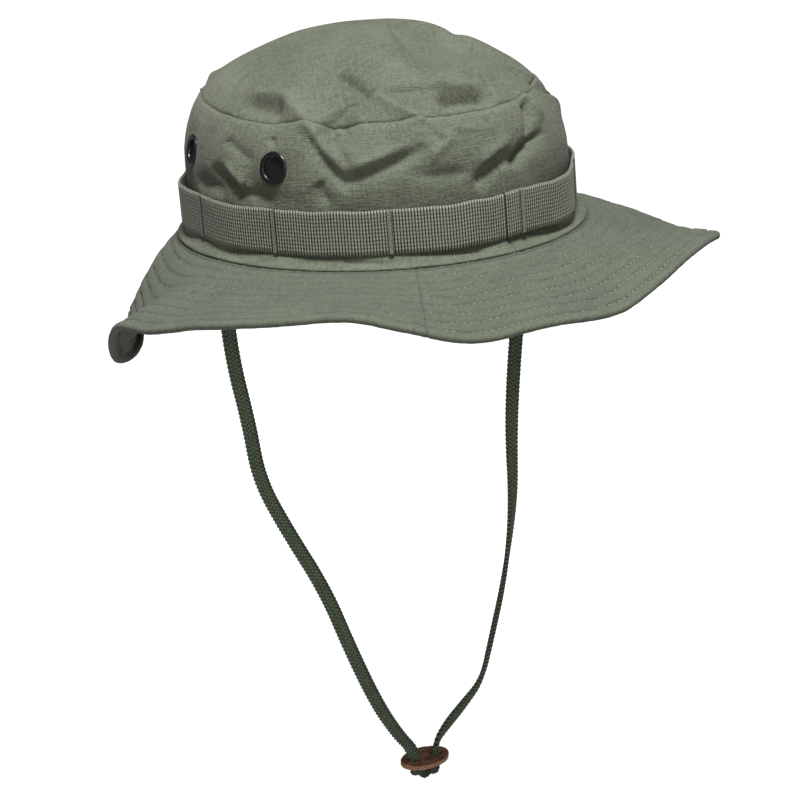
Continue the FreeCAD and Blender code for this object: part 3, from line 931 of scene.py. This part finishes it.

# %% [markdown]
# ## Chin cord
#
# The cord is a flat braid of sixteen strands: eight wind one way round a soft core and
# eight the other way, each passing over two and under two, which draws the columns of
# little V shapes. Every strand is a tube here. A braid is easy once its places round the
# flat section are worked out by one function and the over and under by one cosine.
#
# The line of each cord is a NURBS spline through a short list of points. The
# strands follow points read back from that spline.

# %% Routes of the two halves of the cord
cord_exit_x, cord_exit_z = 90.2, -1.5
hole_x = 6.5                # the toggle's two holes, either side of its middle
tail_ends = (-281.6, -285.4)
cord_routes = {
    "left": ((-90.2, 0, -1.5), (-93.4, -0.8, -19), (-92.5, -1.5, -50), (-86.5, -0.8, -82),
             (-83.0, 0.6, -111), (-69.5, 1.6, -140), (-50.5, 1.0, -177),
             (-40.0, -0.4, -210), (-27.5, -1.2, -243), (-15.5, -0.5, -264),
             (-6.5, 0, -275.0), (-6.5, 0, -283.6)),
    "right": ((90.2, 0, -1.5), (89.0, 0.8, -20), (83.5, 1.6, -50), (75.0, 0.6, -88),
              (68.8, -0.8, -124), (66.8, -1.6, -160), (58.5, -0.6, -199),
              (47.5, 0.6, -231), (40.0, 0.9, -251), (26.5, 0.6, -260.5),
              (14.2, 0.2, -268.5), (6.5, 0, -275.8), (6.5, 0, -283.6))}
# turn of the flat braid, in degrees, at shares of its length
cord_turns = {"left": ((0, 0), (0.12, -28), (0.3, -40), (0.55, -30), (0.8, -38), (1, -60)),
              "right": ((0, 0), (0.1, -35), (0.3, -30), (0.5, 10), (0.64, 52), (0.8, 55),
                        (0.92, 20), (1, 60))}


def spline_points(name, route):
    """Points of the smooth line with the route's points as its control points."""
    curve = bpy.data.curves.new(name, "CURVE")
    curve.dimensions = "3D"
    curve.resolution_u = 32
    spline = curve.splines.new("NURBS")
    spline.points.add(len(route) - 1)
    for point, place in zip(spline.points, route):
        point.co = (*[v * mm for v in place], 1)
    spline.order_u = 3
    spline.use_endpoint_u = True
    holder = bpy.data.objects.new(name, curve)
    line = bpy.data.meshes.new_from_object(holder)
    points = np.array([v.co for v in line.vertices]) / mm
    bpy.data.objects.remove(holder)
    bpy.data.curves.remove(curve)
    bpy.data.meshes.remove(line)
    return points


# %% Braid
strands, turn_length = 8, 17.6
flat_half, round_r = 2.32, 0.6
over_under = 0.34
strand_width, strand_thickness = 1.32, 0.85
# Painted light: how lit each of a strand's six sides is painted, with the sides turned into the
# braid in painted shade.
strand_light = (0.3, 1.0, 1.0, 0.3, 0.0, 0.0)    # how open each side of a strand lies


def flat_ring(place, roundness):
    """Across, thickness and outward direction at a place from 0 to 1 round the section.

    The section goes from flat to round at the same length of its outline.
    """
    total = 4 * flat_half + math.tau * round_r
    flat = flat_half * (1 - roundness)
    bow_r = (total - 4 * flat) / math.tau
    s = (place % 1) * total
    half = s >= total / 2
    s = np.where(half, s - total / 2, s)
    a = np.clip(s, 0, 2 * flat) - flat
    turn = np.clip((s - 2 * flat) / bow_r, 0, math.pi)
    out_a, out_b = np.sin(turn), np.cos(turn)
    side = np.where(half, -1.0, 1.0)
    return (side * (a + bow_r * out_a), side * bow_r * out_b,
            side * out_a, side * out_b)


def tube(points, facing, width, thickness, sides=6):
    """Points and faces of a flattened tube along a line."""
    along = unit(np.gradient(points, axis=0))
    across = unit(np.cross(along, facing))
    outward = np.cross(across, along)
    turn = np.linspace(0, math.tau, sides, endpoint=False)
    made = (points[:, None]
            + across[:, None] * (np.cos(turn) * width / 2)[None, :, None]
            + outward[:, None] * (np.sin(turn) * thickness / 2)[None, :, None])
    i = np.arange(len(points) - 1)[:, None] * sides
    j = np.arange(sides)[None, :]
    after = (j + 1) % sides
    quads = np.stack([i + j, i + after, i + sides + after, i + sides + j], -1)
    last = (len(points) - 1) * sides
    caps = np.array([np.arange(sides)[::-1], last + np.arange(sides)])
    return made.reshape(-1, 3), quads.reshape(-1, 4), caps


def braid(name, line, turns, finish, scale=1.0, step=0.55, round_over=0.001):
    """Sixteen strands woven along a line of points, round over its last stretch."""
    gone = np.concatenate([[0], np.cumsum(np.linalg.norm(np.diff(line, axis=0), axis=1))])
    s = np.linspace(0, gone[-1], max(8, int(gone[-1] / step)))
    centre = np.stack([np.interp(s, gone, line[:, k]) for k in range(3)], 1)
    along = unit(np.gradient(centre, axis=0))
    side_on = unit(np.array((0, 1.0, 0)) - along * along[:, 1:2])
    ahead = np.cross(along, side_on)
    turn = np.radians(smooth_through(turns, s / gone[-1]))[:, None]
    wide = ahead * np.cos(turn) + side_on * np.sin(turn)
    thin = np.cross(along, wide)
    roundness = fade(s, gone[-1] - round_over, gone[-1])
    parts, cloths = [], []
    for way in (1, -1):
        for k in range(strands):
            start = k if way > 0 else k + 0.5
            place = start / strands + way * s / (turn_length * scale)
            wave = np.cos(math.tau * (4 * place - 0.25))
            weave = way * np.clip(math.sqrt(2) * wave, -1, 1)
            a, b, out_a, out_b = flat_ring(place, roundness)
            outward = wide * out_a[:, None] + thin * out_b[:, None]
            path = centre + (wide * a[:, None] + thin * b[:, None]
                             + outward * (weave * over_under)[:, None]) * scale
            parts.append(tube(path, outward, strand_width * scale, strand_thickness * scale))
            # Painted light and shade: a strand is painted lighter where it passes over and
            # darker where it passes under.
            level = np.repeat(0.5 + 0.5 * weave, 6) * np.tile(strand_light, len(s))
            side = np.tile(np.arange(6) * 0.4, len(s)) + 7 * k + 3 * way
            cloths.append(np.stack([np.repeat(s, 6), side, level], -1))
    # The core is painted at level 0, in full painted shade.
    parts.append(tube(centre, thin, 4.6 * scale, 1.1 * scale, 8))
    cloths.append(np.stack([np.repeat(s, 8), np.tile(np.arange(8) * 0.4, len(s)),
                            np.zeros(len(s) * 8)], -1))
    piece = join(name, parts, finish, cloths)
    return piece, centre, gone[-1]


# %% Braid's finish
braid_finish, wire, shader = start_finish("cord_braid", Sheen_Weight=0.2, Sheen_Roughness=0.5)
flat = attribute(wire, "cloth")
run, side, level = flat.split()
fibre = flat.scaled(0.7, 6.0, 0.0).noise(1.0, 3.0)
patch = flat.scaled(0.12, 0.4, 0.0).noise(1.0)
# level carries the painted light and shade of the weave; fibre and patch vary the tone at
# random.
light = level * 0.62 + fibre * 0.42 + patch * 0.3 - 0.2
wire.plug(shader.inputs["Base Color"],
          wire.make("ValToRGB", {"stops": ((0.08, swatch(14, 22, 13)), (0.4, swatch(70, 88, 64)),
                                           (0.85, swatch(134, 150, 122)))}, [light]))
wire.plug(shader.inputs["Roughness"], 0.85 - 0.2 * fibre)
wire.plug(shader.inputs["Normal"], relief(fibre, 0.1))

# %% The two halves of the chin cord
for side, route in cord_routes.items():
    line = spline_points("cord_line", route)
    cord, centre, length = braid("chin_cord_" + side, line, cord_turns[side], braid_finish,
                                 round_over=9.0)
    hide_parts("chin_cord_" + side)
    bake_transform(cord)
    print("chin_cord_%s: %.1f mm, %d faces" % (side, length, len(cord.data.polygons)))

# %% [markdown]
# Between the toggle and the knot the two cords run side by side. When the toggle slides
# up, cord is drawn out below it. Above the brim the cord's sewn ends stay with the hat.

# %% Short ends of the cord
for side, way in (("left", -1), ("right", 1)):
    tail_line = np.array([(way * hole_x, 0, z) for z in np.linspace(*tail_ends, 12)])
    tail, centre, length = braid("cord_tail_" + side, tail_line, ((0, 60), (1, 60)),
                                 braid_finish, 0.72, 0.3)
    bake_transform(tail)
    end_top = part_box("cord_end_" + side)[1][2] / mm
    end_line = np.array([(way * cord_exit_x, 0, z) for z in
                         np.linspace(cord_exit_z - 0.3, end_top - 0.2, 12)])
    sewn, centre, length = braid("cord_end_" + side, end_line, ((0, 0), (1, 0)),
                                 braid_finish, 0.96, 0.4)
    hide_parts("cord_end_" + side)
    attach(sewn, "hat")
print("tails and sewn ends of the cord are in place")

# %% [markdown]
# The knot is the simplest one there is, an overhand knot, and its line has a formula, the
# trefoil. Drawn tight under the toggle it is a little lump of braid, as large as the CAD
# knot.

# %% Knot
low, high = (np.array(c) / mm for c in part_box("cord_knot"))
knot_middle, knot_size = (low + high) / 2, high - low
reach = knot_size / 2 - (2.1, 1.6, 1.7)      # the braid's own half width taken off
t = np.linspace(0, math.tau, 241)
knot_line = knot_middle + np.stack([reach[0] * (np.sin(t) + 2 * np.sin(2 * t)) / 2.6,
                                    reach[1] * (np.cos(t) - 2 * np.cos(2 * t)) / 2.6,
                                    -reach[2] * np.sin(3 * t)], 1)
knot, centre, length = braid("cord_knot", knot_line, ((0, 0), (0.5, 90), (1, 0)),
                             braid_finish, 0.58, 0.35)
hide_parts("cord_knot")
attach(knot, "strap")
print("knot: %.0f mm of cord" % length)

# %% [markdown]
# ## Toggle
#
# The toggle is a punched oval of thick leather. Its outline and holes are the CAD ones, so
# the mesh starts as a copy of the CAD node, remeshed into even small cells. Then the
# grain can be pressed into it, its punched edges softened and each point marked with how
# near a cut edge it is: the edge shows raw leather, lighter than the dyed face.

# %% Toggle's leather
leather_finish, wire, shader = start_finish("toggle_leather", Coat_Weight=0.08,
                                            Coat_Roughness=0.4)
flat = attribute(wire, "cloth")
raw, u, v = flat.split()
place = wire.make("TexCoord", out="Object")
blotch = place.noise(190.0, 4.0, 0.6)
pores = place.noise(1500.0, 3.0)
streak = place.scaled(1.0, 1.0, 3.0).noise(620.0, 3.0)
dyed = mixed((blotch * 0.75 + streak * 0.35).step(0.4, 0.78), swatch(142, 86, 62),
             swatch(226, 166, 132))
cut = mixed(streak.step(0.35, 0.7), swatch(190, 142, 106), swatch(236, 196, 158))
bare = (raw + pores * 0.3 - 0.15).step(0.25, 0.75)
wire.plug(shader.inputs["Base Color"], mixed(bare, dyed, cut))
wire.plug(shader.inputs["Roughness"], 0.5 + 0.25 * pores + 0.12 * raw)
wire.plug(shader.inputs["Normal"], relief(pores * 0.6 + blotch * 0.6, 0.14))


def leather_toggle():
    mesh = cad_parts["cord_toggle"].data.copy()
    piece = bpy.data.objects.new("leather_toggle", mesh)
    bpy.context.scene.collection.objects.link(piece)
    remesh = piece.modifiers.new("remesh", "REMESH")
    remesh.mode, remesh.voxel_size = "VOXEL", 0.3 * mm
    smooth = piece.modifiers.new("smooth", "SMOOTH")
    smooth.iterations, smooth.factor = 3, 0.5
    graph = bpy.context.evaluated_depsgraph_get()
    graph.update()
    final = bpy.data.meshes.new_from_object(piece.evaluated_get(graph))
    piece.modifiers.clear()
    piece.data = final
    points = np.array([v.co for v in final.vertices]) / mm
    normals = np.array([v.normal for v in final.vertices])
    middle = (points.max(0) + points.min(0)) / 2
    face_up = np.linalg.eigh(np.cov((points - middle).T))[1][:, 0]
    face_up = face_up * np.sign(face_up[2])
    flatness = np.abs(normals @ face_up)
    height = (points - middle) @ face_up
    top = height.max()
    swell = soft_noise(points * 0.35) * 0.16
    grain = soft_noise(points * 1.6) * 0.06
    ply = -0.28 * bump(height + 0.15 * top, 0.22) * (flatness < 0.6)
    points = points + normals * (swell + grain + ply)[:, None]
    raw = np.clip((0.95 - flatness) / 0.3, 0, 1) * np.clip(0.35 + (top - height) / top, 0, 1)
    cloth = np.stack([raw, points[:, 0], points[:, 1]], -1)
    final.vertices.foreach_set("co", (points * mm).ravel())
    layer = final.attributes.new("cloth", "FLOAT_VECTOR", "POINT")
    layer.data.foreach_set("vector", cloth.astype(np.float32).ravel())
    final.materials.clear()
    final.materials.append(leather_finish)
    final.polygons.foreach_set("use_smooth", [True] * len(final.polygons))
    pieces[piece.name] = piece
    dress(piece, "cord_toggle", "toggle")
    return piece


toggle = leather_toggle()

# %% [markdown]
# Both halves of the cord go through the toggle and end in the knot.

# %% [markdown]
# ## Foliage band
#
# The band is ribbed webbing, tacked down every few centimetres so that it stands off the
# crown in flat loops that can hold twigs. Its look is in its ribs: thick weft cords, side
# by side, with fine warp yarns crossing them. The ribs are real geometry, five columns of
# points to each rib; the warp is too fine for that and goes into the finish.

# %% Webbing finish
webbing_finish, wire, shader = start_finish("ribbed_webbing", Sheen_Weight=0.1)
flat = attribute(wire, "cloth")
run, rise, rib = flat.split()
rib_pitch, warp_pitch = 1.45, 1.75
fuzz = flat.scaled(1.3, 1.3, 1.0).noise(1.0, 3.0)
patchy = flat.scaled(0.05, 0.09, 1.0).noise(1.0, 3.0)
warp = rise.wave(warp_pitch, 0.3)
# Painted shade and highlight: the gaps between ribs are painted near-black and the ribs' crests
# are painted lighter.
painted_gap_shade = (1 - rib).step(0.1, 0.5) * (0.7 + 0.3 * warp)
light = (0.35 * fuzz + 0.4 * patchy + 0.45 * rib + 0.12 * warp).step(0.4, 0.82)
tone = mixed(light, swatch(40, 44, 36), swatch(164, 167, 152))
wire.plug(shader.inputs["Base Color"], mixed(painted_gap_shade, tone, swatch(12, 14, 10)))
wire.plug(shader.inputs["Roughness"], 0.9 - 0.2 * fuzz)
wire.plug(shader.inputs["Normal"], relief(warp * 0.4 + fuzz * 0.5, 0.25))

# %% Webbing's path round the crown
band_base, band_t = 100.5, 1.3
tack_angles = (-102, -70, -36, 5, 45, 80, 113, 147, 187, 222)
loop_bulge = (1.6, 1.0, 2.2, 3.6, 2.4, 2.2, 2.6, 2.4, 2.0, 2.6)
lap_start, lap_sweep = -1.5, 22.0


def loop_air(angle):
    """Air behind the webbing: none at a tack, most in the middle of a loop."""
    angle = (np.asarray(angle, float) - tack_angles[0]) % 360 + tack_angles[0]
    ends = np.array(tack_angles[1:] + (tack_angles[0] + 360,), float)
    starts = np.array(tack_angles, float)
    i = np.clip(np.searchsorted(starts, angle, side="right") - 1, 0, len(starts) - 1)
    share = (angle - starts[i]) / (ends[i] - starts[i])
    return np.array(loop_bulge)[i] * np.sin(math.pi * share) ** 2


def band_point(angle, height, out):
    """A place on the webbing, a distance out from its inner face."""
    r = band_base + loop_air(angle) + lap_over(angle) + out
    a = np.radians(angle)
    return np.stack([oval * r * np.sin(a), -r * np.cos(a), height + 0 * r], -1)


def lap_over(angle):
    """Step where the webbing's end laps over its start, fading along the lap."""
    past = turn_from(angle, lap_start)
    return band_t * fade(past, 0.0, 0.35) * fade(past, lap_sweep, lap_sweep / 3)


def near_tack(angle):
    """Distance along the band from the nearest tack, in millimetres."""
    off = np.min([np.abs(turn_from(angle, t)) for t in tack_angles], axis=0)
    return np.radians(off) * band_base * (1 + oval) / 2


# %% Webbing
def webbing():
    """The whole band: five columns of points to a rib, tacked, swaying and lapped."""
    ring = band_point(np.linspace(0, 360, 3601), 0.0, 0.0)
    length = np.linalg.norm(np.diff(ring, axis=0), axis=1).sum()
    ribs = int(round(length / rib_pitch))
    columns = ribs * 5
    angles = np.linspace(0, 360, columns, endpoint=False)[None, :]
    heights = np.linspace(0, 1, 19)[:, None]
    angles, heights = np.broadcast_arrays(angles, heights)
    phase = np.arange(columns)[None, :] / 5
    bead = np.abs(np.cos(math.pi * phase)) ** 0.7 + 0 * heights
    edge = np.minimum(heights, 1 - heights) * band_width
    tacked = bump(near_tack(angles), 1.6)
    sway = 0.35 * soft_noise((p * 0.11, 0.0, 5.0) for p in phase[0])
    z = band_foot + heights * band_width + sway * (1 + heights) - 0.25 * bead * (edge < 0.1)
    z = z + 0.5 * lap_over(angles)
    z = z + (heights < 0.5) * 0.3 * (1 - bead) * (edge < 0.1)
    out = band_t - 0.6 * (1 - bead) - 0.5 * bump(edge, 0.5) - 0.35 * tacked
    wobble = 0.5 * soft_noise((p * 0.045, 1.0, 0.0) for p in phase[0])
    lean = (heights - 0.5) * wobble * 1.6 * (1 - tacked)
    outer = band_point(angles, z, out + lean)
    inner = band_point(angles, z, lean - 0.1 * (1 - tacked))
    # Third number: 1 on a rib's crest, which the finish paints light, and 0 in the gaps, which
    # it paints in shade.
    cloth = np.stack([phase * rib_pitch + 0 * heights, heights * band_width, bead], -1)
    piece = shell("foliage_band", outer, inner, cloth, webbing_finish, closed=True)
    dress(piece, "foliage_band")
    print("webbing: %.0f mm round, %d ribs" % (length, ribs))


webbing()

# %% [markdown]
# Each tack is a bar of zigzag stitching right across the webbing. One thread is swept as
# a thin tube along the zigzag, twice over with a half-step shift, so the bar looks filled
# yet shows its single turns.

# %% Tacks
def bar_tack(angle, shift):
    """One zigzag of thread across the webbing."""
    turns = 26
    steps = np.linspace(0, turns, turns * 6 + 1) + shift
    swing = 1.25 * (2 * np.abs((steps % 2) - 1) - 1)
    height = band_foot + 0.3 + (steps - shift) / turns * (band_width - 0.6)
    there = angle + np.degrees(swing / (band_base * (1 + oval) / 2))
    height = height + 0.5 * lap_over(there)
    lift = band_t + 0.2 - 0.35 * (np.abs(swing) / 1.25) ** 6
    path = band_point(there, height, lift - loop_air(there))
    made = tube(path, unit(path * (1, 1, 0)), 0.46, 0.42)
    # Third number: low where the thread dips into the webbing at each turn, which the finish
    # paints in shade.
    crest = np.repeat(0.9 - 0.9 * (np.abs(swing) / 1.25) ** 3, 6)
    return made, np.stack([0 * crest, 0 * crest, crest], -1)


bars = [bar_tack(angle, shift) for angle in tack_angles for shift in (0, 1.0)]
tacks = join("band_tacks", [bar[0] for bar in bars], sewing_finish, [bar[1] for bar in bars])
dress(tacks, "band_tacks")
print("bars of tacking stitches:", len(tack_angles))

# %% [markdown]
# ## Vents
#
# Each vent is a stamped eyelet: a painted metal tube whose rim is rolled over the cloth
# outside, a washer inside and a disc of woven wire between. Its place and direction are
# read from the CAD screen itself: the middle of its points, and the direction in which
# they are spread the least. From there it moves along its axis out to the cloth.

# %% Paint and wire finishes
paint_finish, wire, shader = start_finish("vent_paint", Coat_Weight=0.6, Coat_Roughness=0.16,
                                          Specular_IOR_Level=0.5)
place = wire.make("TexCoord", out="Object")
grit = place.noise(2500.0, 3.0)
wear = place.noise(420.0, 4.0).step(0.66, 0.8)
wire.plug(shader.inputs["Base Color"],
          mixed(wear, mixed(grit, swatch(12, 14, 18), swatch(24, 27, 32)),
                swatch(70, 72, 76)))
wire.plug(shader.inputs["Roughness"], 0.28 + 0.2 * grit)
wire.plug(shader.inputs["Metallic"], 0.15 + 0.6 * wear)
wire.plug(shader.inputs["Normal"], relief(grit, 0.03))

wire_finish, wire, shader = start_finish("screen_wire", Roughness=0.55, Metallic=0.4)
place = wire.make("TexCoord", out="Object")
wire.plug(shader.inputs["Base Color"],
          mixed(place.noise(1600.0), swatch(14, 17, 15), swatch(30, 34, 31)))

# %% Vents
flange_profile = ((5.2, -1.9), (5.2, -0.6), (5.22, 0.1), (5.45, 0.48), (5.85, 0.74),
                  (6.35, 0.88), (6.85, 0.86), (7.3, 0.68), (7.62, 0.4), (7.75, 0.1),
                  (7.62, -0.06), (7.2, -0.1), (6.2, -0.1), (5.65, -0.2), (5.65, -1.9))
washer_profile = ((5.8, -1.9), (7.1, -1.9), (7.25, -1.78), (7.25, -1.52), (7.1, -1.4),
                  (5.8, -1.4))


def node_axes(name):
    """Middle of a round CAD node and the direction of its axis, pointing outwards."""
    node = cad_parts[name]
    points = np.array([v.co for v in node.data.vertices]) / mm
    low, high = points.min(0), points.max(0)
    middle = (low + high) / 2
    axis = np.linalg.eigh(np.cov((points - points.mean(0)).T))[1][:, 0]
    return middle, axis * np.sign(axis @ (middle * (1, 1, 0)))


def round_frame(axis):
    across = unit(np.cross((0, 0, 1.0), axis))
    return across, np.cross(axis, across)


def lathe(profile, middle, axis, finish, name, sides=72):
    """A turned part: a closed profile of (radius, height) swept round an axis."""
    across, upward = round_frame(axis)
    turn = np.linspace(0, math.tau, sides, endpoint=False)
    r, h = np.array(profile).T
    points = (middle + axis * h[:, None, None]
              + across * (r[:, None] * np.cos(turn))[..., None]
              + upward * (r[:, None] * np.sin(turn))[..., None])
    count = len(profile)
    i, j = np.meshgrid(np.arange(count), np.arange(sides), indexing="ij")
    after, below = (j + 1) % sides, (i + 1) % count
    quads = np.stack([i * sides + j, i * sides + after, below * sides + after,
                      below * sides + j], -1).reshape(-1, 4)
    dress(make_mesh(name, points.reshape(-1, 3), [quads], finish), name)


def woven_screen(name, middle, axis):
    """Wires over and under each other, cut to the bore."""
    across, upward = round_frame(axis)
    reach, pitch, wire_r = 5.15, 0.74, 0.19
    parts = []
    marks = np.arange(-6, 7) * pitch
    for k, mark in enumerate(marks):
        half = math.sqrt(reach**2 - mark**2)
        s = np.linspace(-half, half, 41)
        over = wire_r * 0.9 * np.cos(math.pi * (s / pitch + k))
        for a, b, sign in ((across, upward, 1), (upward, across, -1)):
            line = middle + a * s[:, None] + b * mark + axis * (sign * over)[:, None]
            parts.append(tube(line, axis, wire_r * 2, wire_r * 2, 5))
    dress(join(name, parts, wire_finish), name)


vents = [name[:-7] for name in sorted(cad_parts) if name.endswith("_flange")]
for vent in vents:
    middle, axis = node_axes(vent + "_screen")
    seat = crown_rest(math.degrees(math.atan2(middle[0] / oval, -middle[1])), vent_height)
    face = middle + axis * ((seat - middle) @ axis)
    for part, profile in (("_flange", flange_profile), ("_washer", washer_profile)):
        lathe(profile, face, axis, paint_finish, vent + part)
    woven_screen(vent + "_screen", face - axis * 0.65, axis)
print("vents:", ", ".join(vents))

# %% [markdown]
# ## Inside the crown
#
# The inside is finished too: a sweatband of folded twill all round the foot, a binding
# over the raw edges of the top seam, tapes over the front and back seams and a plain
# label beside the back tape. They are sewn to the crown's cloth, so they follow its
# creases: each is the same crumpled surface read at a greater depth.

# %% Finishes of the inside
def twill(name, low, high, rib, slope):
    """Plain tape or twill: fine diagonal ribs and a little unevenness."""
    material, wire, shader = start_finish(name, Sheen_Weight=0.15)
    flat = attribute(wire, "cloth")
    warp, weft, wear_and_light = flat.split()
    ribs = (warp + weft * slope).wave(rib)
    fuzz = flat.scaled(1.6, 1.6, 0.0).noise(1.0, 3.0)
    soil = flat.scaled(0.03, 0.05, 0.0).noise(1.0, 3.0)
    wire.plug(shader.inputs["Base Color"],
              mixed((ribs * 0.25 + fuzz * 0.4 + soil * 0.5).step(0.2, 0.9), low, high))
    wire.plug(shader.inputs["Roughness"], 0.9 - 0.15 * fuzz)
    wire.plug(shader.inputs["Normal"], relief(ribs * 0.6 + fuzz * 0.4, 0.18))
    return material


band_twill = twill("sweatband_twill", swatch(70, 75, 60), swatch(96, 101, 84), 1.1, 1.0)
tape_cloth = twill("seam_tape_cloth", swatch(74, 80, 66), swatch(100, 106, 90), 0.8, 0.0)
label_cloth = twill("label_satin", swatch(205, 204, 194), swatch(230, 229, 220), 0.6, 0.3)


# %% Sweatband, binding, tapes and label
def inner_strip(name, angles, heights, depths, finish, closed=False, rows=24):
    """A strip on the inside of the crown, with soft edges, between two depths."""
    across = np.linspace(*heights, rows)[:, None]
    angles, across = np.broadcast_arrays(angles[None, :], across)
    outer, normals, worn = crown_grid(angles, across, depths[0], closed)
    edge = np.minimum(across - heights[0], heights[1] - across)
    puff = 0.3 * bump(edge - 1.6, 1.3) - 0.3 * bump(edge, 0.5)
    inner = outer - normals * (depths[1] - depths[0] + puff)[..., None]
    arc = np.radians(angles) * (1 + oval) / 2 * strip_r
    cloth = np.stack([arc, across, 0 * arc], -1)
    dress(shell(name, outer, inner, cloth, finish, closed=closed), name)


def inner_path(height, depth):
    """Path of stitches on the inner face of a strip, which looks inwards."""
    points, normals = crown_path(height, depth)
    return points, -normals


round_crown = np.linspace(0, 360, 720, endpoint=False)
strip_top, binding_low, binding_top = 33.0, 57.2, 63.8
inner_strip("sweatband", round_crown, (3.0, strip_top), (1.0, 2.3), band_twill,
            closed=True, rows=34)
inner_strip("top_seam_binding", round_crown, (binding_low, binding_top), (1.0, 1.8),
            tape_cloth, closed=True, rows=12)
tape_sweep = math.degrees(6.0 / 98.8)
for name, middle in (("front_seam_tape", 0), ("back_seam_tape", 180)):
    inner_strip(name, np.linspace(middle - tape_sweep, middle + tape_sweep, 25),
                (strip_top + 1, binding_low - 1.2), (1.0, 1.8), tape_cloth)
inner_strip("size_label", np.linspace(153.3, 172.6, 49), (strip_top + 1, binding_low - 1.2),
            (1.0, 1.4), label_cloth)
sew("sweatband_stitches", [inner_path(height, 2.4) for height in (5.0, strip_top - 2)],
    3.0, 0.26, 0.24)
sew("binding_stitches", [inner_path(binding_low + 1.4, 1.95)], 2.8, 0.24, 0.22)

# %% [markdown]
# ## Studio
#
# A pale floor, a white surround and two soft lamps. The key lamp stands high in front, so
# that the top is the brightest part, every fold has a shaded side and both sides of the
# crown fall off into shade. A weaker lamp near the camera lifts the cords and the toggle,
# which the brim would otherwise leave in its shadow. The floor and the surround look white
# to the camera but light the hat only a little, which keeps the contrast.

# %% Floor, surround and lamps
floor_height = -0.335
bpy.ops.mesh.primitive_plane_add(size=40, location=(0, 0, floor_height))
floor = bpy.context.object
floor.name = "floor"
floor_finish, wire, shader = start_finish("pale_floor", Roughness=0.9)
speckle = wire.make("TexCoord", out="Object").noise(3.0)
wire.plug(shader.inputs["Base Color"],
          mixed(speckle, (0.40, 0.40, 0.40, 1), (0.43, 0.43, 0.43, 1)))
seen = wire.make("LightPath", out="Is Camera Ray")
wire.plug(shader.inputs["Emission Color"], mixed(seen, (0, 0, 0, 1), (1, 1, 1, 1)))
shader.inputs["Emission Strength"].default_value = 1.0
floor.data.materials.append(floor_finish)

world = bpy.data.worlds.new("surround")
bpy.context.scene.world = world
world.use_nodes = True
sky = Wire(world.node_tree)
seen = sky.make("LightPath", out="Is Camera Ray")
surround = world.node_tree.nodes["Background"]
sky.plug(surround.inputs["Color"], (1, 1, 1, 1))
sky.plug(surround.inputs["Strength"], 0.1 + 1.0 * seen)


def lamp(name, azimuth, elevation, distance, size, power):
    a, e = math.radians(azimuth), math.radians(elevation)
    away = Vector((math.sin(a) * math.cos(e), -math.cos(a) * math.cos(e), math.sin(e)))
    data = bpy.data.lights.new(name, "AREA")
    data.shape, data.size, data.energy = "DISK", size, power
    made = bpy.data.objects.new(name, data)
    bpy.context.scene.collection.objects.link(made)
    made.location = away * distance
    made.rotation_mode = "QUATERNION"
    made.rotation_quaternion = away.to_track_quat("Z", "Y")


lamp("key_lamp", -26, 69, 2.0, 0.6, 46)
lamp("front_lamp", -34, 20, 2.2, 0.8, 5)
bpy.context.scene.view_settings.view_transform = "Standard"
